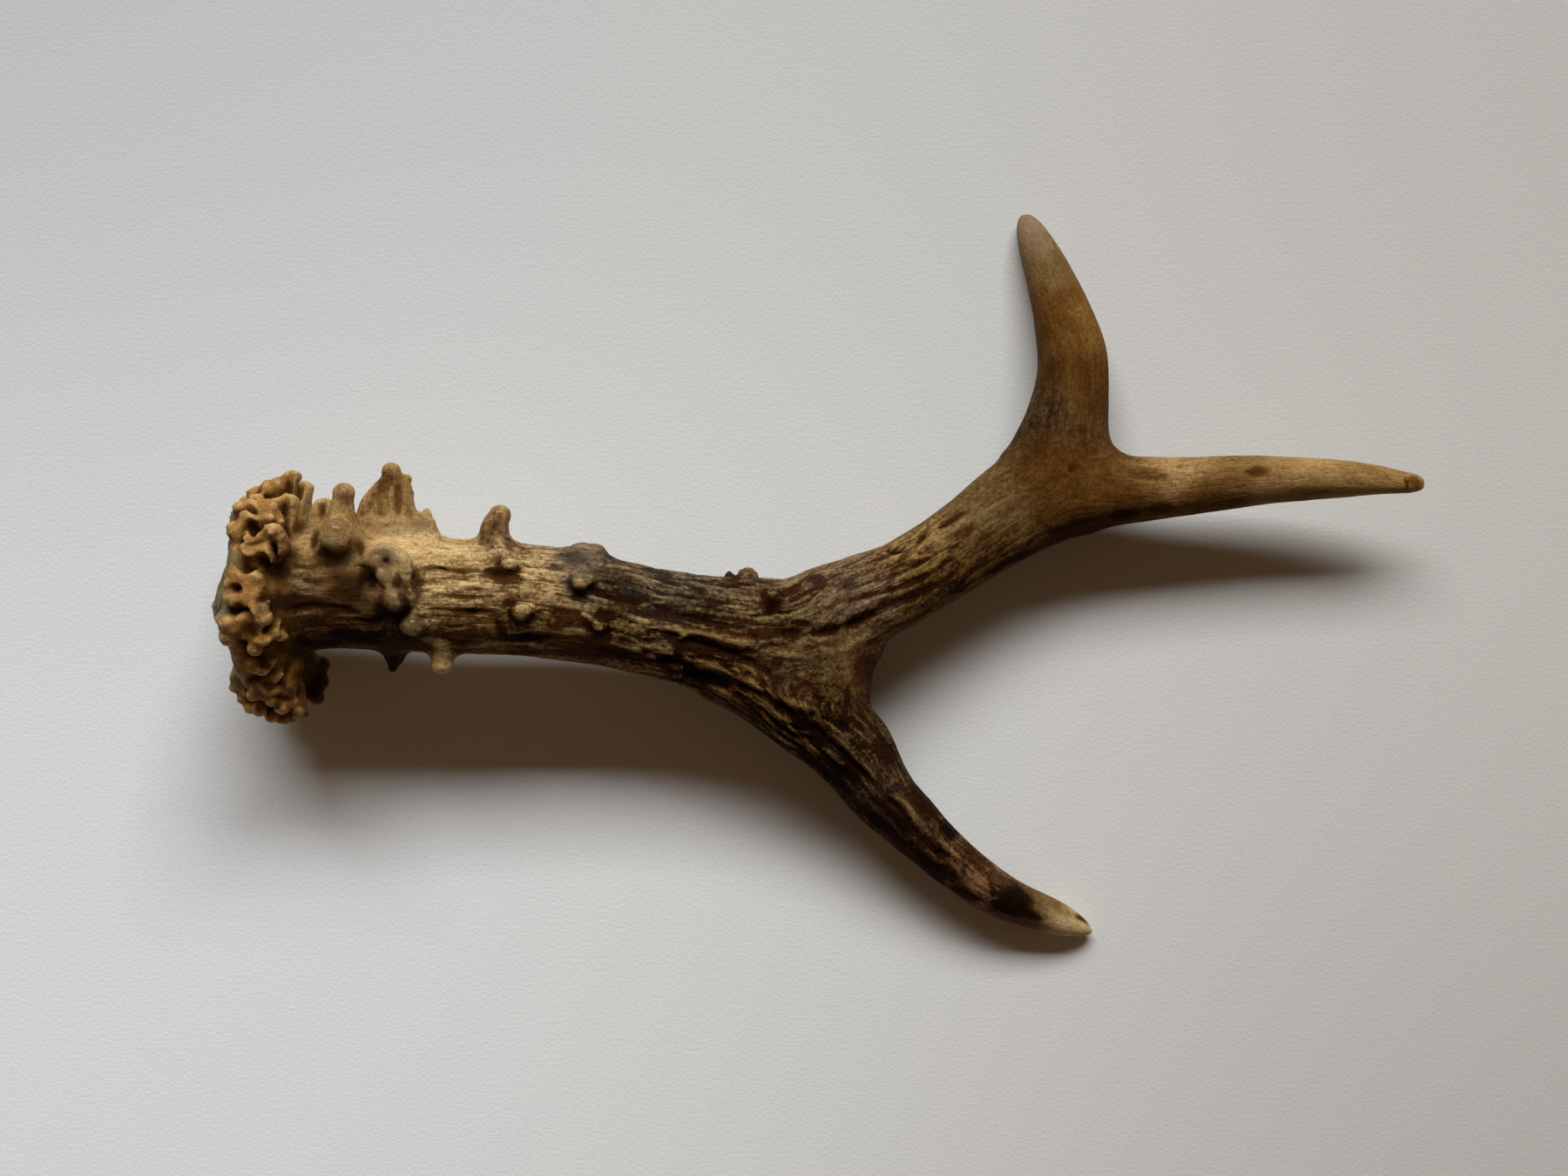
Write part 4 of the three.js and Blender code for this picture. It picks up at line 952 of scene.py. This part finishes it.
        (-12.6, -15.3, 4.5, 1, -12, 0.9), (-43.7, -11, 4.5, 0.4, 0, 0.6),
        (-71.4, -8.1, 4.4, 1.3, -3, 0.9), (-69.2, 1.9, 1.2, 1.9, -20, 0.85),
        (10.2, -23, 1.3, 1.2, 0, 0.9), (-1, -20.2, 1.5, 0.9, -30, 0.9), (2.5, -23.2, 1.6, 0.9, -35, 0.9),
        (5.6, -26.1, 1.8, 0.9, -40, 0.85), (11.1, -31.6, 1.9, 1, -45, 0.9),
        (28.5, -41.5, 2, 1.4, -45, 0.85), (15.8, -40.3, 2, 0.9, -42, 0.9),
        (40, -54.4, 4.2, 2.6, -34, 0.9), (38, -55.6, 2.4, 1.2, -20, 0.9), (43.6, -57, 2, 0.9, -40, 0.85),
        (-67.7, 1.7, 1, 2.2, -15, 0.9), (28.7, -49.1, 3, 0.9, -42, 0.7), (9, -30.7, 3.7, 0.7, -40, 0.7),
        (18, -38.3, 4.5, 0.9, -45, 0.8)],
}
for x, y, radius, lift in pearls:      # painted shade round the feet of the pearls, on their side away from the light
    away = np.hypot(points[:, 0] - x, points[:, 1] - y)
    awayFromLight = y - points[:, 1] + (x - points[:, 0]) * 0.4 + radius * (0.3 + patch)
    below = ramp(awayFromLight, -0.8 * radius, radius)
    stainAndShade("dark", np.exp(-((away - radius * 1.2) / 0.55)**2) * 0.85 * below * upward)
for colour, rows in stainAndShadePatches.items():
    for x, y, long, wide, turn, strength in rows:
        edge = 0.6 * (1 - strength)      # a weak stain has a soft edge
        reach = ovalReach(inPlan, x, y, long, wide, turn) + 0.35 * patch + 0.4 * fleck
        stainAndShade(colour, (1 - ramp(reach, 0.6 - edge, 1.2 + edge)) * upward * strength)

glazesAndShade = [  # the polished ends of pearls and spikes, and painted shade on some of them: x, y, z, reach, colour, strength
    # (-66.8, -12.8) black: painted shade on the dark spike, which lies in the beam's shadow; (-80.4, -15)
    # amber: partly the twist's own reddish brown, partly painted shade
    (-66.8, -12.8, 17, 3.4, "black", 0.95), (-80.4, -15, 13, 5.4, "amber", 0.7),
    # (-74, 6, 29.6) brown: painted shade on the underside of the big pearl and its stalk
    (-48.4, 9.6, 23, 5, "rust", 0.6), (-74, 6, 29.6, 4, "brown", 0.9),
    (-73.3, 10.6, 32.6, 3.4, "umber", 0.8), (-74.2, 7.6, 33.4, 2.1, "ash", 0.7),
    (-73.1, 16.2, 28, 2.6, "peach", 0.5), (-66, 20, 23, 2.4, "peach", 0.3),
    (-63.7, -2, 31.5, 2.3, "ash", 0.8), (-61.3, -6.1, 30.5, 2.2, "ash", 0.7),
    (-48.3, 12.4, 23.4, 2.2, "peach", 0.4), (-43.3, -4, 29.8, 1.7, "tan", 0.7),
    (-33.7, 1, 29.6, 1.6, "tan", 0.7), (-6.2, 2.6, 19.2, 1.9, "umber", 0.5),
    (-57.4, -13.4, 24, 3, "straw", 0.7), (-45.6, 4, 30, 1.5, "tan", 0.7),
    (-1.9, -1, 24.5, 1.3, "tan", 0.6), (-65.8, 5.4, 31, 3, "pearlBrown", 0.55),
    (-65.3, 1.8, 31, 2, "umber", 0.5), (-17, -8.3, 26, 1, "ochre", 0.8),
    (-18, -14.6, 22, 1, "ochre", 0.8),
]
polish = 0.16 * onBurr * ramp(edgeWear, 0.2, 0.9)
for x, y, z, reach, colour, strength in glazesAndShade:
    away = np.linalg.norm(points - (x, y, z), axis=1)
    cover = (1 - ramp(away / reach + 0.1 * patch, 0.55, 1)) * strength * (0.85 + 0.15 * fleck)
    blend(colour, cover)
    dark -= 0.25 * cover
    roughness = roughness * (1 - cover * 0.4)
    polish += cover * (0.12 if colour in ("black", "brown", "amber") else 0.4)     # dark ends are duller
wet = [  # places with a wet looking polish: x, y, half length, half width, turn
    (-81, -1.6, 3, 1.2, 0), (39.8, -55.6, 4.6, 2.2, -30),
]
for oval in wet:
    polish += 0.16 * (1 - ramp(ovalReach(points, *oval), 0.6, 1.2)) * upward
fromAxis = np.hypot(points[:, 1] - trunk["axisY"], points[:, 2] - trunk["axisZ"])
sealStripes = roughNoise(points * (1, 0.35, 1), 1.1, 71)
collar = ramp(-points[:, 0], 89.8, 91.2) * (1 - ramp(fromAxis, 15, 16.6)) * ramp(1.4 - deepness, 0, 0.8)
base = np.maximum(base, collar)
blend("moss", np.maximum(inSeal, base), 0.8)
blend("brown", base * ramp(sealStripes, 0, 0.5), 0.7)
dark += np.maximum(inSeal, base) * (0.4 * sealStripes + 0.1)
roughness = np.clip(roughness + 0.12 * np.maximum(-ridge, 0), 0.15, 0.9)


def keepAtPoints(mesh, name, kind, values):
    attribute = mesh.attributes.new(name, kind, "POINT")
    field = "color" if kind == "FLOAT_COLOR" else "vector" if kind == "FLOAT_VECTOR" else "value"
    attribute.data.foreach_set(field, values.astype(np.float32).ravel())


# fibres of what stands up from the beam run outwards, round the beam at about 12 mm from its middle
turned = np.arctan2(points[:, 1] - trunk["axisY"], points[:, 2] - trunk["axisZ"])
standing = np.stack([fromAxis, points[:, 0], turned * 12], 1)
stands = (ramp(fromAxis, 10.6, 12.6) * ramp(-points[:, 0], 28, 32))[:, None]
alpha = np.ones((len(points), 1))
for name, kind, values in (
        ("pale", "FLOAT_COLOR", np.hstack([pale, alpha])),
        ("deep", "FLOAT_COLOR", np.hstack([deep, alpha])),
        ("dark", "FLOAT", dark),
        ("fibre", "FLOAT_VECTOR", fibre * (1 - stands) + standing * stands),
        ("gloss", "FLOAT", roughness),
        ("polish", "FLOAT", np.clip(polish, 0, 0.7)),
        ("grooved", "FLOAT", np.clip(grooveDepth * 4 + 0.38, 0, 1)),
        ("softNormal", "FLOAT_VECTOR", normals)):
    keepAtPoints(skin, name, kind, values)
print("bone painted")


def addNode(tree, kind, settings, links):
    # one node: settings are its fields or inputs, links are what goes into its inputs
    node = tree.nodes.new("ShaderNode" + kind)
    for key, value in settings.items():
        if isinstance(key, str) and hasattr(node, key) and key not in node.inputs:
            setattr(node, key, value)
        else:
            node.inputs[key].default_value = value
    for key, source in links.items():
        tree.links.new(source, node.inputs[key])
    return node


# antler bone, air dried and weathered: fibres and pores hold the dirt, so it looks dry and streaked,
# and only rims and tips that were rubbed smooth have a faint waxy shine
boneLook = {
    "hairLength": 4.0,      # mm, the fibres of the bone
    "hairWidth": 0.42,
    "threadLength": 2.2,    # mm, the finest fibres, drawn wider than real ones so that they show
    "threadWidth": 0.28,
    "poreSize": 0.7,        # mm, drawn coarser than real pores so that they show
    "specksPerMetre": 1400.0,
    "ior": 1.5,
    "specular": 0.02,
    "specularTint": "#ffc896",
    "coatRoughness": 0.12,
    "poreRoughness": 0.35,  # how much duller the pores are
    "bump": 0.7,
    "bumpDepth": 0.0006,
}
antlerBone = bpy.data.materials.new("antlerBone")
antlerBone.use_nodes = True
tree = antlerBone.node_tree
shader = tree.nodes["Principled BSDF"]
painted = {name: addNode(tree, "Attribute", {"attribute_name": name}, {})
           for name in ("pale", "deep", "dark", "fibre", "gloss", "grooved", "polish")}
grooved = painted["grooved"].outputs["Fac"]
place = addNode(tree, "TexCoord", {}, {}).outputs["Object"]
noises = {}
for name, length, width, detailLevel, rough, twist in (
        ("hair", boneLook["hairLength"], boneLook["hairWidth"], 4.0, 0.65, 0.4),
        ("threads", boneLook["threadLength"], boneLook["threadWidth"], 2.0, 0.6, 0.6)):
    along = addNode(tree, "Mapping", {"Scale": (1 / length, 1 / width, 1 / width)},
                    {"Vector": painted["fibre"].outputs["Vector"]})
    settings = {"Scale": 1.0, "Detail": detailLevel, "Roughness": rough, "Distortion": twist}
    noises[name] = addNode(tree, "TexNoise", settings, {"Vector": along.outputs["Vector"]}).outputs["Fac"]
for name, scale, detailLevel, rough in (("pores", 1000 / boneLook["poreSize"], 4.0, 0.7),
                                        ("specks", boneLook["specksPerMetre"], 2.0, 0.5)):
    noises[name] = addNode(tree, "TexNoise", {"Scale": scale, "Detail": detailLevel, "Roughness": rough},
                           {"Vector": place}).outputs["Fac"]
hairShare = addNode(tree, "Math", {"operation": "MULTIPLY_ADD", 1: 1.6, 2: -0.8}, {0: noises["hair"]})
poreShare = addNode(tree, "Math", {"operation": "MULTIPLY_ADD", 1: 1.8, 2: -0.9}, {0: noises["pores"]})
mottle = addNode(tree, "Math", {"operation": "ADD"},
                 {0: hairShare.outputs["Value"], 1: poreShare.outputs["Value"]}).outputs["Value"]
mottled = addNode(tree, "Math", {"operation": "MULTIPLY_ADD"},
                  {0: mottle, 1: grooved, 2: painted["dark"].outputs["Fac"]})
share = addNode(tree, "MapRange", {"From Min": -0.2, "From Max": 1.15, "interpolation_type": "SMOOTHSTEP"},
                {"Value": mottled.outputs["Value"]})
colour = addNode(tree, "Mix", {"data_type": "RGBA"},
                 {0: share.outputs["Result"], 6: painted["pale"].outputs["Color"],
                  7: painted["deep"].outputs["Color"]}).outputs[2]
for source, low, high, shadeLow, shadeHigh in (      # dark specks, fine threads, then fibres and pores
        (noises["specks"], 0.32, 0.46, 0.5, 1.0), (noises["threads"], 0.3, 0.7, 0.68, 1.3),
        (mottle, -0.6, 0.6, 1.32, 0.68)):
    limits = {"From Min": low, "From Max": high, "To Min": shadeLow, "To Max": shadeHigh}
    shade = addNode(tree, "MapRange", limits, {"Value": source})
    colour = addNode(tree, "Mix", {"data_type": "RGBA", "blend_type": "MULTIPLY"},
                     {0: grooved, 6: colour, 7: shade.outputs["Result"]}).outputs[2]
roughened = addNode(tree, "Math", {"operation": "MULTIPLY_ADD", 1: boneLook["poreRoughness"]},
                    {0: poreShare.outputs["Value"], 2: painted["gloss"].outputs["Fac"]})
reliefSum = addNode(tree, "Math", {"operation": "ADD"}, {0: noises["hair"], 1: noises["pores"]})
reliefShare = addNode(tree, "Math", {"operation": "MULTIPLY"}, {0: reliefSum.outputs["Value"], 1: grooved})
bump = addNode(tree, "Bump", {"Strength": boneLook["bump"], "Distance": boneLook["bumpDepth"]},
               {"Height": reliefShare.outputs["Value"]})
for key, source in (("Base Color", colour), ("Roughness", roughened.outputs["Value"]),
                    ("Normal", bump.outputs["Normal"]), ("Coat Weight", painted["polish"].outputs["Fac"])):
    tree.links.new(source, shader.inputs[key])
for key, value in (("IOR", boneLook["ior"]), ("Specular IOR Level", boneLook["specular"]),
                   ("Specular Tint", (*linearColour(boneLook["specularTint"]), 1)),
                   ("Coat Roughness", boneLook["coatRoughness"])):
    shader.inputs[key].default_value = value
print("antler bone mixed")


# the five pieces: the skin is cut through at the main forks
cuts = [  # place on the cut, its direction, reach in mm
    ((8, -25, 12), (0.62, -0.78, 0), 15),
    ((16, -2, 12.6), (0.86, 0.5, 0), 15),
    ((49.4, 26.5, 10), (0.06, 1, 0), 14),
    ((58.5, 17, 11.4), (1, 0.07, 0), 12),
]
pieces = [  # name of the piece, its node, its slot, a place inside it, mm
    ("lowerBeam", "lower_beam", "pearled_antler", (-40, 0, 20)),
    ("upperBeam", "upper_beam", "grooved_antler", (30, 6, 11)),
    ("frontTine", "front_tine", "stained_tine", (30, -48, 7)),
    ("rearTine", "rear_tine", "polished_tine", (50, 40, 7)),
    ("topTine", "top_tine", "pale_tine", (82, 18.6, 13)),
]
body = bmesh.new()
body.from_mesh(skin)
for place, direction, reach in cuts:
    middle = Vector(place)
    normal = Vector(direction).normalized()
    # only the faces within 2 mm of the cut, so that it goes through one branch and no other
    chosen = [f for f in body.faces if abs((f.verts[0].co - middle).dot(normal)) < 2
              and (f.verts[0].co - middle).length < reach]
    region = set()
    for f in chosen:
        region.update(f.verts)
        region.update(f.edges)
    result = bmesh.ops.bisect_plane(body, geom=list(region) + chosen, plane_co=middle, plane_no=normal,
                                    dist=1e-5)
    cutEdges = [e for e in result["geom_cut"] if isinstance(e, bmesh.types.BMEdge)]
    bmesh.ops.split_edges(body, edges=cutEdges)
body.verts.ensure_lookup_table()


def islandAround(body, place):
    # every vertex that hangs together with the one nearest to a place
    place = Vector(place)
    start = min(body.verts, key=lambda v: (v.co - place).length_squared)
    island = {start}
    stack = [start]
    while stack:
        for edge in stack.pop().link_edges:
            for v in edge.verts:
                if v not in island:
                    island.add(v)
                    stack.append(v)
    return island


toFrame = Matrix.Diagonal((mm, mm, mm, 1)) @ Matrix.Translation((shiftX, shiftY, 0))
for name, node, slot, place in pieces:
    island = islandAround(body, place)
    part = body.copy()
    part.verts.ensure_lookup_table()
    body.verts.index_update()
    inside = {v.index for v in island}
    bmesh.ops.delete(part, geom=[v for i, v in enumerate(part.verts) if i not in inside], context="VERTS")
    rims = [e for e in part.edges if e.is_boundary]
    capFaces = set(bmesh.ops.holes_fill(part, edges=rims, sides=0)["faces"])
    for f in part.faces:
        f.smooth = f not in capFaces
    for e in rims:
        e.smooth = False
    bmesh.ops.recalc_face_normals(part, faces=part.faces)
    part.transform(toFrame)
    mesh = bpy.data.meshes.new(name)
    part.to_mesh(mesh)
    part.free()
    soft = np.empty(len(mesh.vertices) * 3)
    mesh.attributes["softNormal"].data.foreach_get("vector", soft)
    soft = soft.reshape(-1, 3)
    soft /= np.maximum(np.linalg.norm(soft, axis=1), 1e-6)[:, None]
    corner = np.empty(len(mesh.loops), np.int32)
    mesh.loops.foreach_get("vertex_index", corner)
    loopNormals = soft[corner]
    for polygon in mesh.polygons:
        if not polygon.use_smooth:
            loopNormals[polygon.loop_start:polygon.loop_start + polygon.loop_total] = polygon.normal
    mesh.normals_split_custom_set(loopNormals.tolist())
    mesh.attributes.remove(mesh.attributes["softNormal"])
    mesh.materials.append(antlerBone)
    piece = addObject(name, mesh)
    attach(piece, "root")
    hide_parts(node)
    print(name, len(mesh.vertices), "points", sum(len(p.vertices) - 2 for p in mesh.polygons), "triangles")
body.free()
bpy.data.meshes.remove(skin)
bpy.data.meshes.remove(trunkMesh)


studio = {
    "cameraHeight": 0.403,
    "cameraLens": 52,
    "floorSize": 6.0,
    "floorColour": "#e4e9ef",
    "toneEast": 120,         # mm over which the floor's tone changes
    "toneNorth": 90,
    "grainPerMetre": 1700.0,
    "keyTurn": 0,            # degrees from +y towards +x
    "keyRise": 41,           # degrees above the floor
    "keyDistance": 2.4,
    "keyWidth": 2.2,
    "keyHeight": 0.72,
    "keyPower": 70,
    "keyColour": "#fdfbf8",
    "skyColour": "#e8b486",
    "skyStrength": 0.1,
}
floorMesh = bpy.data.meshes.new("floor")
floorBm = bmesh.new()
bmesh.ops.create_grid(floorBm, x_segments=240, y_segments=240, size=studio["floorSize"] / 2)
floorBm.to_mesh(floorMesh)
floorBm.free()
# painted light on the floor: its colour is darkened towards the right and the back, where the light falls
# off, and turns a little warmer there
sheet = readPoints(floorMesh)
east = 1.15 * np.tanh((sheet[:, 0] / mm - shiftX) / studio["toneEast"])
north = 1.15 * np.tanh((sheet[:, 1] / mm - shiftY) / studio["toneNorth"])
shade = 1.07 - 0.135 * east - 0.103 * north + 0.11 * east * north - 0.088 * (east**2 + north**2)
warmth = np.stack([np.ones(len(east)), 1.02 - 0.025 * (1 + east), 1.02 - 0.06 * (1 + east)], 1)
tone = np.hstack([warmth * shade[:, None] * 0.93, np.ones((len(east), 1))])
keepAtPoints(floorMesh, "tone", "FLOAT_COLOR", tone)
floor = addObject("floor", floorMesh)

# uncoated drawing paper: quite dull, with a tooth that is drawn coarser than real so that it shows
paper = bpy.data.materials.new("drawingPaper")
paper.use_nodes = True
paperTree = paper.node_tree
paperShader = paperTree.nodes["Principled BSDF"]
paperPlace = addNode(paperTree, "TexCoord", {}, {})
paperTone = addNode(paperTree, "Attribute", {"attribute_name": "tone"}, {})
paperGrain = addNode(paperTree, "TexNoise",
                     {"Scale": studio["grainPerMetre"], "Detail": 4.0, "Roughness": 0.65},
                     {"Vector": paperPlace.outputs["Object"]})
paperShade = addNode(paperTree, "MapRange",
                     {"From Min": 0.2, "From Max": 0.8, "To Min": 0.95, "To Max": 1.05},
                     {"Value": paperGrain.outputs["Fac"]})
paperColour = addNode(paperTree, "Mix", {"data_type": "RGBA", "blend_type": "MULTIPLY", 0: 1.0,
                                         6: (*linearColour(studio["floorColour"]), 1)},
                      {7: paperShade.outputs["Result"]})
paperToned = addNode(paperTree, "Mix", {"data_type": "RGBA", "blend_type": "MULTIPLY", 0: 1.0},
                     {6: paperColour.outputs[2], 7: paperTone.outputs["Color"]})
paperBump = addNode(paperTree, "Bump", {"Strength": 0.5, "Distance": 0.0002},
                    {"Height": paperGrain.outputs["Fac"]})
paperTree.links.new(paperToned.outputs[2], paperShader.inputs["Base Color"])
paperTree.links.new(paperBump.outputs["Normal"], paperShader.inputs["Normal"])
paperShader.inputs["Roughness"].default_value = 0.9
floorMesh.materials.append(paper)

lamp = bpy.data.lights.new("window", "AREA")      # one broad, low window
lamp.shape = "RECTANGLE"
lamp.size = studio["keyWidth"]
lamp.size_y = studio["keyHeight"]
lamp.energy = studio["keyPower"]
lamp.color = linearColour(studio["keyColour"])
turn = math.radians(studio["keyTurn"])
rise = math.radians(studio["keyRise"])
away = Vector((math.sin(turn) * math.cos(rise), math.cos(turn) * math.cos(rise), math.sin(rise)))
window = addObject("window", lamp)
window.location = away * studio["keyDistance"]
window.rotation_euler = away.to_track_quat("Z", "Y").to_euler()
world = bpy.data.worlds.new("room")
world.use_nodes = True
sky = world.node_tree.nodes["Background"]
sky.inputs["Color"].default_value = (*linearColour(studio["skyColour"]), 1)
sky.inputs["Strength"].default_value = studio["skyStrength"]
bpy.context.scene.world = world
bpy.context.scene.view_settings.view_transform = "Standard"

eye = bpy.data.cameras.new("camera")
eye.lens = studio["cameraLens"]
eye.sensor_width = 36
eye.clip_start = 0.01
camera = addObject("camera", eye)
camera.location = (shiftX * mm, shiftY * mm, studio["cameraHeight"])
bpy.context.scene.camera = camera
print("floor, light and camera set")
